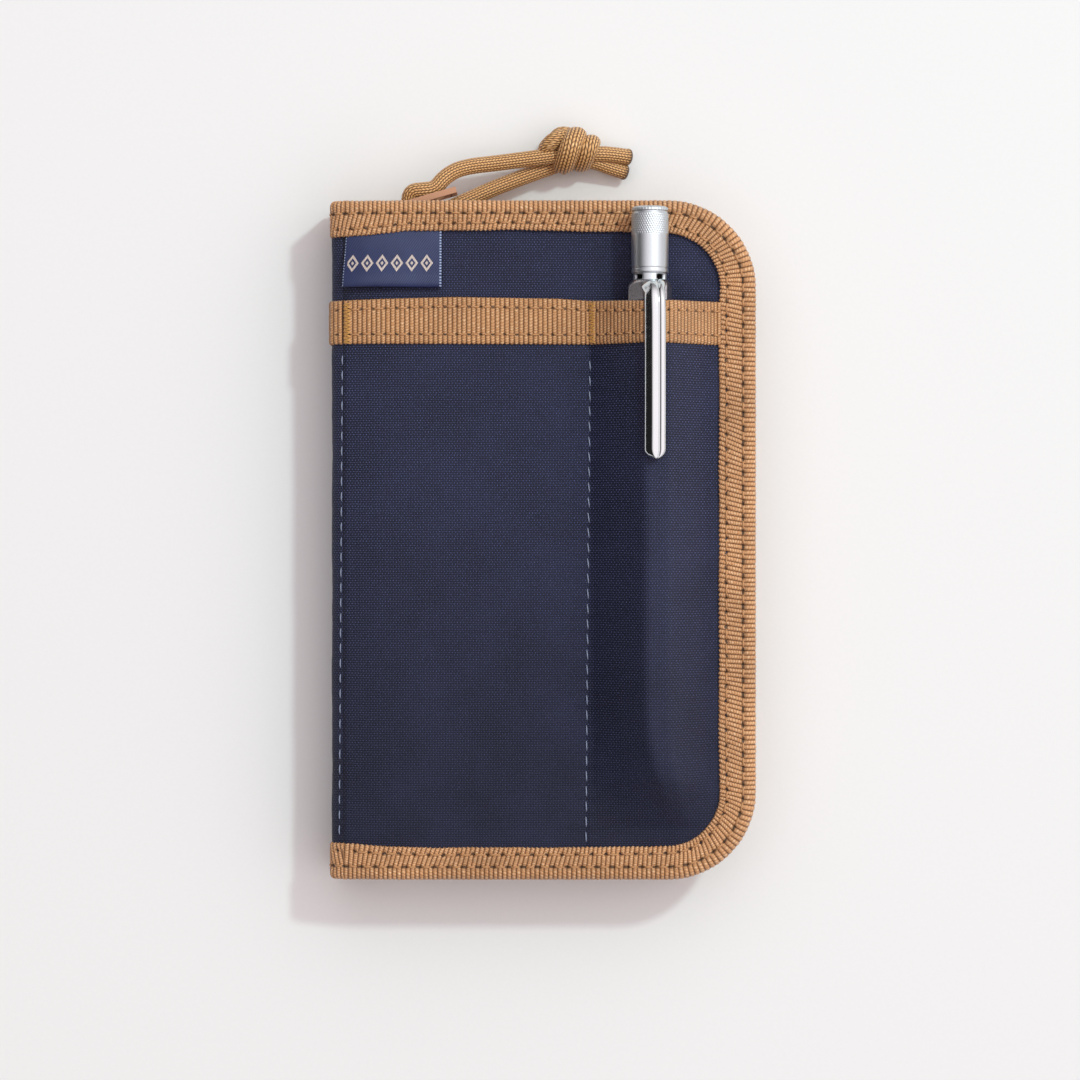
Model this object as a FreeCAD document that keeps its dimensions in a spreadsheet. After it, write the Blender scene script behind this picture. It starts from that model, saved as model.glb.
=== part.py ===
"""A zip-round travel document organizer, lying on its back cover.

The case is a book of stiffened canvas: back cover, spine and front cover, with bound edges. A zipper runs round the
three open sides between the covers, and its slider carries a pull tab with a knotted cord. The front cover carries a
slip pocket with a pen sleeve. X runs from the spine to the fore edge, Y from foot to head, and Z up from the surface
that the case lies on. The origin is the centre of the back cover's outer face.
"""

import FreeCAD
import Part
import Sketcher
import math
import os

doc = FreeCAD.newDocument("Organizer")
sheet = doc.addObject("Spreadsheet::Sheet", "Sizes")

# Driving dimensions, in millimetres, except tabAngle, tailTilt and penRoll, in degrees.
SIZES = {
    # the case
    "caseWidth": 106.5,
    "caseHeight": 170,
    "caseDepth": 22,
    "cornerRadius": 22,
    "canvas": 0.8,
    "board": 1.2,
    "boardInset": 3,
    "liner": 0.5,
    "air": 0.3,
    # the folds beside the spine
    "foldCover": 3.2,
    "foldSpine": 1,
    # edge binding
    "bindingWide": 9.2,
    "bindingThick": 0.8,
    "innerLegWide": 6.4,
    # zipper
    "tapeThick": 0.5,
    "tapeInset": 7,
    "chainDeep": 2.2,
    "chainHigh": 2.2,
    "chainGap": 1.2,
    "tapeEnd": 6,
    # slider and pull tab
    "sliderPlace": 41.5,
    "sliderLong": 10,
    "plateThick": 1.2,
    "flangeThick": 0.7,
    "postThick": 0.6,
    "postLong": 2.5,
    "bridgeLong": 7,
    "bridgeWide": 2.4,
    "bridgeHigh": 2.8,
    "bridgeOpen": 2,
    "chainClear": 2.9,
    "tabLong": 20.4,
    "tabWide": 8.8,
    "tabThick": 1.5,
    "tabNotch": 4.6,
    "tabNotchWide": 3.2,
    "tabSlotWide": 6.4,
    "tabSlotStart": 5.8,
    "tabSlotEnd": 19,
    "tabAngle": 16,
    "pinThick": 1,
    "armEnd": 0.62,
    # braided cord and its knot
    "cordThick": 4,
    "knotX": 8,
    "knotY": 96.6,
    "knotZ": 6,
    "knotLong": 15,
    "knotRadius": 5.7,
    "knotShoulder": 2.4,
    "tailLong": 15.5,
    "tailThick": 3.8,
    "tailTilt": 98,
    "tailDrop": 0.4,
    # slip pocket on the front cover
    "pocketTop": 60,
    "bandWide": 11.2,
    "bandThick": 0.9,
    "sleeveLeft": 11.75,
    "sleeveFoot": 60,
    "sleeveEdge": 1.2,
    "pocketGap": 0.2,
    # woven label
    "labelLeft": 50,
    "labelRight": 25.5,
    "labelFoot": 63.25,
    "labelThick": 0.7,
    "labelGap": 0.05,
    # pockets inside
    "innerSide": 8.4,
    "innerFold": 2.4,
    "pocketCloth": 0.5,
    "pocketEdge": 10,
    "edgeTape": 0.6,
    "documentTop": 56,
    "passportTop": 22,
    "cardTop": 62,
    "cardStep": 17,
    "cardFoot": 4,
    # pen
    "penX": 27,
    "penZ": 27.8,
    "penRoll": 15,
    "penTop": 83.75,
    "knobLong": 17.5,
    "knobRadius": 4.6,
    "knobEdge": 0.6,
    "collarLong": 1.8,
    "collarRadius": 3.8,
    "hexRadius": 5.75,
    "hexLong": 82,
    "boreRadius": 3.2,
    "gripLong": 26,
    "gripRadius": 4.7,
    "noseLong": 12,
    "noseRadius": 2,
    "noseStep": 0.2,
    "collarGap": 0.05,
    "refillRadius": 2.2,
    "refillLong": 88,
    "tipRadius": 1.1,
    "tipLong": 15,
    "tipHidden": 1,
    "tipPlay": 0.15,
    "tipCone": 2,
    "tipBall": 0.33,
    "tipShoulder": 2.5,
    "noseLedge": 6.5,
    "clipLong": 46.25,
    "clipWide": 5.3,
    "clipThick": 1.3,
    "clipRise": 7.9,
}
for row, (alias, size) in enumerate(SIZES.items(), start=1):
    sheet.set(f"A{row}", alias)
    sheet.set(f"B{row}", str(size))
    sheet.setAlias(f"B{row}", alias)
doc.recompute()


class Length:
    """A size that knows both its number and the formula that gives it from the spreadsheet."""

    def __init__(self, value, text):
        self.value = value
        self.text = text

    def __add__(self, other):
        other = length(other)
        return Length(self.value + other.value, f"({self.text} + {other.text})")

    def __sub__(self, other):
        other = length(other)
        return Length(self.value - other.value, f"({self.text} - {other.text})")

    def __mul__(self, other):
        other = length(other)
        return Length(self.value * other.value, f"({self.text} * {other.text})")

    def __truediv__(self, other):
        other = length(other)
        return Length(self.value / other.value, f"({self.text} / {other.text})")

    def __neg__(self):
        return Length(-self.value, f"(0 - {self.text})")


def length(thing):
    """A Length from a Length or a plain number."""
    return thing if isinstance(thing, Length) else Length(float(thing), str(float(thing)))


def size(alias):
    """The spreadsheet's size with that alias."""
    return Length(float(SIZES[alias]), f"Sizes.{alias}")


# Places that many pieces share.
ZERO = length(0)
SPINE_X = -size("caseWidth") / 2
FORE_X = size("caseWidth") / 2
HEAD_Y = size("caseHeight") / 2
TOP_Z = size("caseDepth")
MID_Z = TOP_Z / 2
COVER_X = SPINE_X + size("foldCover")
TAPE_X = SPINE_X + size("tapeEnd")
# The layers of a cover, from its outer face inwards.
CANVAS_OUT = size("bindingThick")
CANVAS_IN = CANVAS_OUT + size("canvas")
BOARD_IN = CANVAS_IN + size("board")
LINER_IN = BOARD_IN + size("liner")
FOOT_IN = LINER_IN + size("tapeThick")
COVER_IN = FOOT_IN + size("bindingThick")
# The zipper's chain: the far side of its tape, the tape's face and the chain's outer face, from the cover's edge.
TAPE_BACK = size("tapeInset") + size("tapeThick")
CHAIN_OUT = size("tapeInset") - size("chainDeep")
CHAIN_EDGE = size("chainGap") / 2
SLIDER_X = -size("sliderPlace")
SLIDER_END = SLIDER_X + size("sliderLong") / 2
BRIDGE_Y = HEAD_Y - CHAIN_OUT + size("air") + size("plateThick")
HINGE_Y = BRIDGE_Y + size("bridgeOpen") / 2
# The pocket's cloth lies on the front cover's canvas.
POCKET_Z = TOP_Z - size("bindingThick")

BUILT = []


def bind(thing, name, value):
    """Binds a property, or a constraint, to its formula."""
    thing.setExpression(name, value.text)


def finished(piece, label):
    """Gives a sub-part its name and keeps it for export."""
    piece.Label = label
    BUILT.append(piece)
    return piece


def origin_plane(body, role):
    return next(f for f in body.Origin.OriginFeatures if f.Role == role)


def sketch_on(body, name, role, offset):
    """A sketch on one of the body's own origin planes, moved along that plane's normal."""
    sketch = body.newObject("Sketcher::SketchObject", name)
    sketch.AttachmentSupport = [(origin_plane(body, role), "")]
    sketch.MapMode = "FlatFace"
    sketch.AttachmentOffset = FreeCAD.Placement(FreeCAD.Vector(0, 0, offset.value), FreeCAD.Rotation())
    bind(sketch, "AttachmentOffset.Base.z", offset)
    return sketch


def pin_point(sketch, edge, end, place):
    """Fixes one end of an edge at a place given by two formulas."""
    for kind, value in zip(("DistanceX", "DistanceY"), place):
        index = sketch.addConstraint(Sketcher.Constraint(kind, -1, 1, edge, end, value.value))
        bind(sketch, f"Constraints[{index}]", value)


def draw(sketch, points, rounded=None, closed=True):
    """Straight edges from point to point. rounded says which of them are quarter arcs, as {edge: (centre, radius)}."""
    rounded = rounded or {}
    vectors = [FreeCAD.Vector(x.value, y.value, 0) for x, y in points]
    count = len(points) if closed else len(points) - 1
    ends = []
    for i in range(count):
        a, b = vectors[i], vectors[(i + 1) % len(points)]
        if i in rounded:
            centre, radius = rounded[i]
            middle = FreeCAD.Vector(centre[0].value, centre[1].value, 0)
            # A sketch's arcs run anticlockwise, so a clockwise corner starts at its far end.
            swapped = (a - middle).cross(b - middle).z < 0
            first, last = (b, a) if swapped else (a, b)
            angles = [math.atan2(v.y - middle.y, v.x - middle.x) for v in (first, last)]
            circle = Part.Circle(middle, FreeCAD.Vector(0, 0, 1), radius.value)
            edge = sketch.addGeometry(Part.ArcOfCircle(circle, *angles))
            ends.append((2, 1) if swapped else (1, 2))
            index = sketch.addConstraint(Sketcher.Constraint("Radius", edge, radius.value))
            bind(sketch, f"Constraints[{index}]", radius)
        else:
            edge = sketch.addGeometry(Part.LineSegment(a, b))
            ends.append((1, 2))
    for i in range(count):
        if i in rounded:
            sketch.addConstraint(Sketcher.Constraint("Coincident", i, ends[i][0], i - 1, ends[i - 1][1]))
            after = (i + 1) % count
            sketch.addConstraint(Sketcher.Constraint("Coincident", i, ends[i][1], after, ends[after][0]))
        elif i > 0 and i - 1 not in rounded:
            sketch.addConstraint(Sketcher.Constraint("Coincident", i, 1, i - 1, 2))
    if closed and count - 1 not in rounded and 0 not in rounded:
        sketch.addConstraint(Sketcher.Constraint("Coincident", count - 1, 2, 0, 1))
    for i in range(count):
        if i not in rounded:
            if i == 0 or i - 1 in rounded:
                pin_point(sketch, i, 1, points[i])
            last = i == count - 1
            if not (closed and last) or 0 in rounded:
                pin_point(sketch, i, 2, points[(i + 1) % len(points)])
    return sketch


def edge_path(sketch, inset, head_x, foot_x):
    """The line that runs round a cover's three free sides, from the spine's head to its foot."""
    right, high, radius = FORE_X - inset, HEAD_Y - inset, size("cornerRadius") - inset
    points = [
        (head_x, high),
        (right - radius, high),
        (right, high - radius),
        (right, radius - high),
        (right - radius, -high),
        (foot_x, -high),
    ]
    corners = {
        1: ((right - radius, high - radius), radius),
        3: ((right - radius, radius - high), radius),
    }
    return draw(sketch, points, corners, closed=False)


def cover_outline(sketch, inset, left):
    """A cover's outline: square corners at the spine and round ones at the fore edge."""
    right, high, radius = FORE_X - inset, HEAD_Y - inset, size("cornerRadius") - inset
    points = [
        (left, high),
        (right - radius, high),
        (right, high - radius),
        (right, radius - high),
        (right - radius, -high),
        (left, -high),
    ]
    corners = {
        1: ((right - radius, high - radius), radius),
        3: ((right - radius, radius - high), radius),
    }
    return draw(sketch, points, corners)


def pad(body, sketch, thick):
    feature = body.newObject("PartDesign::Pad", "Pad")
    feature.Profile = sketch
    bind(feature, "Length", thick)
    sketch.Visibility = False
    body.Tip = feature
    return feature


def pocket(body, sketch, deep):
    """Cuts from the sketch along its normal, and makes sure that it cut something."""
    before = body.Tip
    feature = body.newObject("PartDesign::Pocket", "Pocket")
    feature.Profile = sketch
    feature.Reversed = True
    bind(feature, "Length", deep)
    sketch.Visibility = False
    body.Tip = feature
    doc.recompute()
    if not feature.Shape.Volume < before.Shape.Volume - 0.01:
        raise RuntimeError(f"{body.Name}: a pocket cut nothing")
    return feature


def new_body(name):
    return doc.addObject("PartDesign::Body", name)


def cover_sheet(label, inset, left, low, thick):
    """A flat layer of a cover, from height low."""
    body = new_body(label)
    pad(body, cover_outline(sketch_on(body, "Outline", "XY_Plane", low), inset, left), thick)
    return finished(body, label)


def edge_strip(label, profile, head_x=COVER_X, foot_x=COVER_X):
    """A strip round the cover's three free sides: a cross-section, in Y and Z at the head, carried round the edge."""
    body = new_body(label)
    path = edge_path(sketch_on(body, "Path", "XY_Plane", ZERO), ZERO, head_x, foot_x)
    section = draw(sketch_on(body, "Section", "YZ_Plane", head_x), profile)
    doc.recompute()
    pipe = body.newObject("PartDesign::AdditivePipe", "Pipe")
    pipe.Profile = section
    pipe.Spine = (path, [])
    body.Tip = pipe
    return finished(body, label)


def mirrored(profile):
    """The same cross-section on the front cover: turned over about the case's middle height."""
    return [(y, TOP_Z - z) for y, z in reversed(profile)]


def make_covers():
    """Canvas, board and liner of both covers."""
    inset = size("bindingThick")
    back = new_body("back_outer_panel")
    pad(back, cover_outline(sketch_on(back, "Edge", "XY_Plane", CANVAS_OUT), inset, COVER_X), size("canvas"))
    field = size("bindingWide") + size("air")
    pad(back, cover_outline(sketch_on(back, "Field", "XY_Plane", ZERO), field, COVER_X), CANVAS_OUT)
    finished(back, "back_outer_panel")
    cover_sheet("back_stiffener", size("boardInset"), COVER_X + size("air"), CANVAS_IN, size("board"))
    cover_sheet("back_liner", inset, COVER_X, BOARD_IN, size("liner"))
    cover_sheet("front_outer_panel", inset, COVER_X, TOP_Z - CANVAS_IN, size("canvas"))
    cover_sheet("front_stiffener", size("boardInset"), COVER_X + size("air"), TOP_Z - BOARD_IN, size("board"))
    cover_sheet("front_liner", inset, COVER_X, TOP_Z - LINER_IN, size("liner"))


def make_edges():
    """Bindings, zipper tapes and zipper chains, each once for the back cover and once for the front cover."""
    thick, edge = size("bindingThick"), HEAD_Y
    binding = [
        (edge, ZERO),
        (edge, COVER_IN),
        (edge - size("innerLegWide"), COVER_IN),
        (edge - size("innerLegWide"), FOOT_IN),
        (edge - thick, FOOT_IN),
        (edge - thick, CANVAS_OUT),
        (edge - size("bindingWide"), CANVAS_OUT),
        (edge - size("bindingWide"), ZERO),
    ]
    tape = [
        (edge - thick, LINER_IN),
        (edge - thick, FOOT_IN),
        (edge - size("tapeInset"), FOOT_IN),
        (edge - size("tapeInset"), MID_Z - CHAIN_EDGE),
        (edge - TAPE_BACK, MID_Z - CHAIN_EDGE),
        (edge - TAPE_BACK, LINER_IN),
    ]
    chain = [
        (edge - size("tapeInset"), MID_Z - CHAIN_EDGE - size("chainHigh")),
        (edge - CHAIN_OUT, MID_Z - CHAIN_EDGE - size("chainHigh")),
        (edge - CHAIN_OUT, MID_Z - CHAIN_EDGE),
        (edge - size("tapeInset"), MID_Z - CHAIN_EDGE),
    ]
    edge_strip("back_edge_binding", binding)
    edge_strip("front_edge_binding", mirrored(binding))
    edge_strip("back_zipper_tape", tape, TAPE_X, TAPE_X)
    edge_strip("front_zipper_tape", mirrored(tape), TAPE_X, TAPE_X)
    edge_strip("back_zipper_teeth", chain, TAPE_X, TAPE_X)
    # The front chain stops at the slider, so that the front cover lifts out of it.
    edge_strip("front_zipper_teeth", mirrored(chain), SLIDER_END + size("chainClear"), TAPE_X)


def block(body, name, role, offset, low, high, thick):
    """Pads a rectangle, given by two opposite corners, on one of the body's origin planes."""
    corners = [low, (high[0], low[1]), high, (low[0], high[1])]
    return pad(body, draw(sketch_on(body, name, role, offset), corners), thick)


def make_spine():
    """Spine panel and liner, with a binding at the head and another at the foot."""
    low, tall = size("foldSpine"), TOP_Z - size("foldSpine") * 2
    thick, half = size("bindingThick"), HEAD_Y - size("bindingThick")
    field = HEAD_Y - size("bindingWide") - size("air")
    canvas_x, liner_x = SPINE_X + thick, SPINE_X + thick + size("canvas")
    panel = new_body("spine_outer_panel")
    block(panel, "Edge", "XY_Plane", low, (canvas_x, -half), (liner_x, half), tall)
    block(panel, "Field", "XY_Plane", low, (SPINE_X, -field), (canvas_x, field), tall)
    finished(panel, "spine_outer_panel")
    liner = new_body("spine_liner")
    inner_x = liner_x + size("liner")
    block(liner, "Outline", "XY_Plane", low, (liner_x, -half), (inner_x, half), tall)
    finished(liner, "spine_liner")
    for label, side in (("spine_head_binding", length(1)), ("spine_foot_binding", length(-1))):
        binding = new_body(label)
        outline = [
            (SPINE_X, HEAD_Y * side),
            (inner_x + thick, HEAD_Y * side),
            (inner_x + thick, (HEAD_Y - size("innerLegWide")) * side),
            (inner_x, (HEAD_Y - size("innerLegWide")) * side),
            (inner_x, half * side),
            (canvas_x, half * side),
            (canvas_x, (HEAD_Y - size("bindingWide")) * side),
            (SPINE_X, (HEAD_Y - size("bindingWide")) * side),
        ]
        pad(binding, draw(sketch_on(binding, "Section", "XY_Plane", low), outline), tall)
        finished(binding, label)


def sleeve_line(lift):
    """The line of the pocket's cloth across the case, from fold to fore edge, raised by lift: flat, then over the pen."""
    flat_z, air = POCKET_Z + lift, size("air") * 0.7
    # The cloth bends over the two corners of the hexagon that are uppermost.
    bends = [math.radians(corner - SIZES["penRoll"]) for corner in (120, 60)]
    left, right = [
        (size("penX") + (size("hexRadius") + air) * math.cos(a), size("penZ") + (size("hexRadius") + air) * math.sin(a))
        for a in bends
    ]
    edge = FORE_X - size("bindingWide") - size("air") * 0.5
    return [
        (COVER_X, flat_z),
        (size("sleeveLeft"), flat_z),
        (left[0], left[1] + lift),
        (right[0], right[1] + lift),
        (edge - size("sleeveEdge"), flat_z),
        (edge, flat_z),
    ]


def sleeve_section(sketch, low, high, ridge=True):
    """A cross-section of cloth between two lifts, in X and Z. Without the ridge it is the flat end of the taper."""
    lower, upper = sleeve_line(low), sleeve_line(high)
    if not ridge:
        lower = [(x, POCKET_Z + low) for x, z in lower]
        upper = [(x, POCKET_Z + high) for x, z in upper]
    return draw(sketch, lower + upper[::-1])


def make_front_pocket():
    """The slip pocket with its pen sleeve, which is a ridge that tapers to the foot, and the band on its edge."""
    cloth, band = size("canvas"), size("canvas") + size("bandThick")
    foot, taper = HEAD_Y - size("bindingWide") - size("air"), size("sleeveFoot")
    edge = size("pocketTop") - size("bandThick")
    panel = new_body("front_pocket_panel")
    # The XZ plane's normal points to -Y, so a pad from the pocket's mouth runs towards the foot.
    mouth = sleeve_section(sketch_on(panel, "Mouth", "XZ_Plane", -edge), ZERO, cloth)
    pad(panel, mouth, edge + taper)
    doc.recompute()
    ends = [
        sleeve_section(sketch_on(panel, "TaperStart", "XZ_Plane", taper), ZERO, cloth),
        sleeve_section(sketch_on(panel, "TaperEnd", "XZ_Plane", foot), ZERO, cloth, ridge=False),
    ]
    doc.recompute()
    loft = panel.newObject("PartDesign::AdditiveLoft", "Taper")
    loft.Profile = ends[0]
    loft.Sections = [ends[1]]
    loft.Ruled = True
    panel.Tip = loft
    # The lower fore-edge corner is rounded to lie inside the binding.
    radius = size("cornerRadius") - size("bindingWide") - size("pocketGap")
    centre = (FORE_X - size("cornerRadius"), size("cornerRadius") - HEAD_Y)
    reach = radius + 1
    outside = [
        (centre[0] + radius, centre[1]),
        (centre[0] + reach, centre[1]),
        (centre[0] + reach, centre[1] - reach),
        (centre[0], centre[1] - reach),
        (centre[0], centre[1] - radius),
    ]
    corner = draw(sketch_on(panel, "Corner", "XY_Plane", POCKET_Z - 1), outside, {4: (centre, radius)})
    pocket(panel, corner, size("hexRadius") * 3)
    finished(panel, "front_pocket_panel")
    band_body = new_body("pocket_band")
    front = sleeve_section(sketch_on(band_body, "Front", "XZ_Plane", -size("pocketTop")), cloth, band)
    pad(band_body, front, size("bandWide"))
    lip = sleeve_section(sketch_on(band_body, "Lip", "XZ_Plane", -size("pocketTop")), ZERO, cloth)
    pad(band_body, lip, size("bandThick"))
    finished(band_body, "pocket_band")


def make_label():
    """The woven label, folded double and sewn in under the head binding."""
    label = new_body("woven_label")
    head = HEAD_Y - size("bindingWide") - size("air") * 0.5
    low, high = (-size("labelLeft"), size("labelFoot")), (-size("labelRight"), head)
    block(label, "Outline", "XY_Plane", POCKET_Z + size("labelGap"), low, high, size("labelThick"))
    finished(label, "woven_label")


def flat_pocket(label, low, foot, top, hang):
    """A flat pocket inside a cover and the tape on its edge. hang is 1 above the back liner, -1 under the front one."""
    left, right = COVER_X + size("innerFold"), FORE_X - size("innerSide")
    radius = size("cornerRadius") - size("innerSide")
    panel = new_body(label)
    sketch = sketch_on(panel, "Outline", "XY_Plane", low)
    points = [(left, top), (right, top), (right, foot + radius), (right - radius, foot), (left, foot)]
    draw(sketch, points, {2: ((right - radius, foot + radius), radius)})
    pad(panel, sketch, size("pocketCloth"))
    finished(panel, label)
    tape = new_body(label + "_edge")
    tape_low = low + size("pocketCloth") if hang > 0 else low - size("edgeTape")
    corners = ((left, top - size("pocketEdge")), (right, top))
    block(tape, "Outline", "XY_Plane", tape_low, corners[0], corners[1], size("edgeTape"))
    finished(tape, label + "_edge")


def make_inner_pockets():
    """Document and passport pockets in the back cover, and stepped card pockets in the front cover."""
    cloth, gap = size("pocketCloth"), size("air") * 0.2
    foot = size("innerSide") - HEAD_Y
    flat_pocket("document_pocket", LINER_IN + gap, foot, size("documentTop"), 1)
    flat_pocket("passport_pocket", LINER_IN + cloth + gap * 2, foot, size("passportTop"), 1)
    for step, name in enumerate(("upper", "middle", "lower")):
        low = TOP_Z - LINER_IN - (cloth + gap) * (step + 1)
        top = size("cardTop") - size("cardStep") * step
        flat_pocket(f"card_pocket_{name}", low, size("cardFoot"), top, -1)
    low = TOP_Z - LINER_IN - cloth - gap
    flat_pocket("ticket_pocket", low, foot, size("cardFoot") - size("air") * 4, -1)


def make_slider():
    """The slider: two plates that hold the chains between them, joined by a post, and the bridge for the pull tab."""
    long, half = size("sliderLong"), size("sliderLong") / 2
    reach = CHAIN_EDGE + size("chainHigh") + size("air")
    wide = reach + size("flangeThick")
    face = HEAD_Y - CHAIN_OUT + size("air")
    body = new_body("slider_body")
    # The YZ plane's normal is +X, so each block runs along the slider's travel.
    start = SLIDER_X - half
    block(body, "OuterPlate", "YZ_Plane", start, (face, MID_Z - wide), (BRIDGE_Y, MID_Z + wide), long)
    flange_y = HEAD_Y - size("tapeInset") + size("air")
    block(body, "LowFlange", "YZ_Plane", start, (flange_y, MID_Z - wide), (face, MID_Z - reach), long)
    block(body, "HighFlange", "YZ_Plane", start, (flange_y, MID_Z + reach), (face, MID_Z + wide), long)
    inner = HEAD_Y - TAPE_BACK - size("air")
    post = size("postThick") / 2
    block(body, "Post", "YZ_Plane", start, (inner, MID_Z - post), (face, MID_Z + post), size("postLong"))
    plate = inner - size("plateThick")
    block(body, "InnerPlate", "YZ_Plane", start, (plate, MID_Z - wide), (inner, MID_Z + wide), long)
    finished(body, "slider_body")

    # The bridge is an arch over the outer plate: legs at both ends and a bar between them.
    bridge = new_body("slider_bridge")
    reach_x, wide_z = size("bridgeLong") / 2, size("bridgeWide") / 2
    outline = [
        (SLIDER_X - reach_x, BRIDGE_Y),
        (SLIDER_X - reach_x, BRIDGE_Y + size("bridgeHigh")),
        (SLIDER_X + reach_x, BRIDGE_Y + size("bridgeHigh")),
        (SLIDER_X + reach_x, BRIDGE_Y),
        (SLIDER_X + reach_x - 1, BRIDGE_Y),
        (SLIDER_X + reach_x - 1, BRIDGE_Y + size("bridgeOpen")),
        (SLIDER_X - reach_x + 1, BRIDGE_Y + size("bridgeOpen")),
        (SLIDER_X - reach_x + 1, BRIDGE_Y),
    ]
    pad(bridge, draw(sketch_on(bridge, "Arch", "XY_Plane", MID_Z - wide_z), outline), wide_z * 2)
    finished(bridge, "slider_bridge")


def place_at(thing, x, y, z):
    """Puts a piece's own origin at a place given by three formulas."""
    for axis, value in zip("xyz", (x, y, z)):
        bind(thing, f"Placement.Base.{axis}", value)


def make_tab():
    """The pull tab: a plate on edge with a slot for the cord, and two arms that hold a pin under the bridge."""
    tab = new_body("pull_tab")
    half, thick = size("tabWide") / 2, size("tabThick")
    notch, pin, arm = size("tabNotchWide") / 2, size("pinThick") / 2, size("armEnd")
    # Drawn along X from the pin, with Z across, then padded through its thickness.
    outline = [
        (-arm, -half),
        (size("tabLong"), -half),
        (size("tabLong"), half),
        (-arm, half),
        (-arm, notch),
        (size("tabNotch"), notch),
        (size("tabNotch"), -notch),
        (-arm, -notch),
    ]
    pad(tab, draw(sketch_on(tab, "Outline", "XZ_Plane", -thick / 2), outline), thick)
    slot = size("tabSlotWide") / 2
    start, end = size("tabSlotStart"), size("tabSlotEnd")
    corners = [(start, -slot), (end, -slot), (end, slot), (start, slot)]
    pocket(tab, draw(sketch_on(tab, "Slot", "XZ_Plane", -thick / 2), corners), thick)
    rod = sketch_on(tab, "Pin", "XY_Plane", -notch)
    rod.addGeometry(Part.Circle(FreeCAD.Vector(0, 0, 0), FreeCAD.Vector(0, 0, 1), pin.value))
    rod.addConstraint(Sketcher.Constraint("Coincident", 0, 3, -1, 1))
    bind(rod, f"Constraints[{rod.addConstraint(Sketcher.Constraint('Radius', 0, pin.value))}]", pin)
    pad(tab, rod, notch * 2)
    tab.Placement.Rotation = FreeCAD.Rotation(FreeCAD.Vector(0, 0, 1), SIZES["tabAngle"])
    bind(tab, "Placement.Rotation.Angle", size("tabAngle"))
    place_at(tab, SLIDER_X, HINGE_Y, MID_Z)
    finished(tab, "pull_tab")


# The cord's route, from the knot out along one strand, round through the tab's slot, and back to the knot.
CORD_ROUTE = [
    (2.4, 96.2, 8.1),
    (-10.0, 94.5, 8.3),
    (-21.2, 92.4, 10.0),
    (-26.6, 88.8, 11.6),
    (-31.8, 88.3, 12.2),
    (-33.5, 86.6, 11.7),
    (-33.5, 84.2, 10.6),
    (-31.8, 82.5, 9.9),
    (-27.0, 82.6, 9.5),
    (-20.2, 85.3, 8.6),
    (-10.0, 89.6, 6.4),
    (2.6, 93.8, 4.5),
]


def route_wire(points):
    """Straight runs joined by arcs that touch them, as one wire."""
    corners = [FreeCAD.Vector(*p) for p in points]
    edges, start, radii = [], corners[0], []
    for before, corner, after in zip(corners, corners[1:], corners[2:]):
        into, out = corner - before, after - corner
        cut = 0.45 * min(into.Length, out.Length)
        half_turn = into.getAngle(out) / 2
        radii.append(cut / math.tan(half_turn))
        into.normalize()
        out.normalize()
        enter, leave = corner - into * cut, corner + out * cut
        bisector = out - into
        bisector.normalize()
        # The arc's middle lies on the bisector, as far from the corner as its radius allows.
        middle = corner + bisector * radii[-1] * (1 / math.cos(half_turn) - 1)
        edges.append(Part.LineSegment(start, enter).toShape())
        edges.append(Part.Arc(enter, middle, leave).toShape())
        start = leave
    edges.append(Part.LineSegment(start, corners[-1]).toShape())
    print("cord bend radii, mm:", [round(r, 1) for r in radii])
    return Part.Wire(edges)


def make_cord():
    """The braided cord: a round section carried along its route."""
    wire = route_wire(CORD_ROUTE)
    path = doc.addObject("Part::Feature", "CordPath")
    path.Shape = wire
    circle = doc.addObject("Part::Circle", "CordSection")
    bind(circle, "Radius", size("cordThick") / 2)
    ahead = FreeCAD.Vector(*CORD_ROUTE[1]) - FreeCAD.Vector(*CORD_ROUTE[0])
    turn = FreeCAD.Rotation(FreeCAD.Vector(0, 0, 1), ahead)
    circle.Placement = FreeCAD.Placement(FreeCAD.Vector(*CORD_ROUTE[0]), turn)
    cord = doc.addObject("Part::Sweep", "pull_cord")
    cord.Sections = [circle]
    cord.Spine = (path, [f"Edge{i}" for i in range(1, len(wire.Edges) + 1)])
    cord.Solid = True
    cord.Frenet = False
    doc.recompute()
    swept = math.pi * (SIZES["cordThick"] / 2) ** 2 * wire.Length
    print(f"cord length {wire.Length:.1f} mm, volume {cord.Shape.Volume:.1f} against {swept:.1f} mm3")
    if abs(cord.Shape.Volume / swept - 1) > 0.02:
        raise RuntimeError("the cord's tube doesn't match its route")
    return finished(cord, "pull_cord")


# The knot's two tails: how each one is turned, in degrees, and where it starts across the knot.
KNOT_TAILS = ((6, 1.2), (-14, -2.2))


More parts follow.
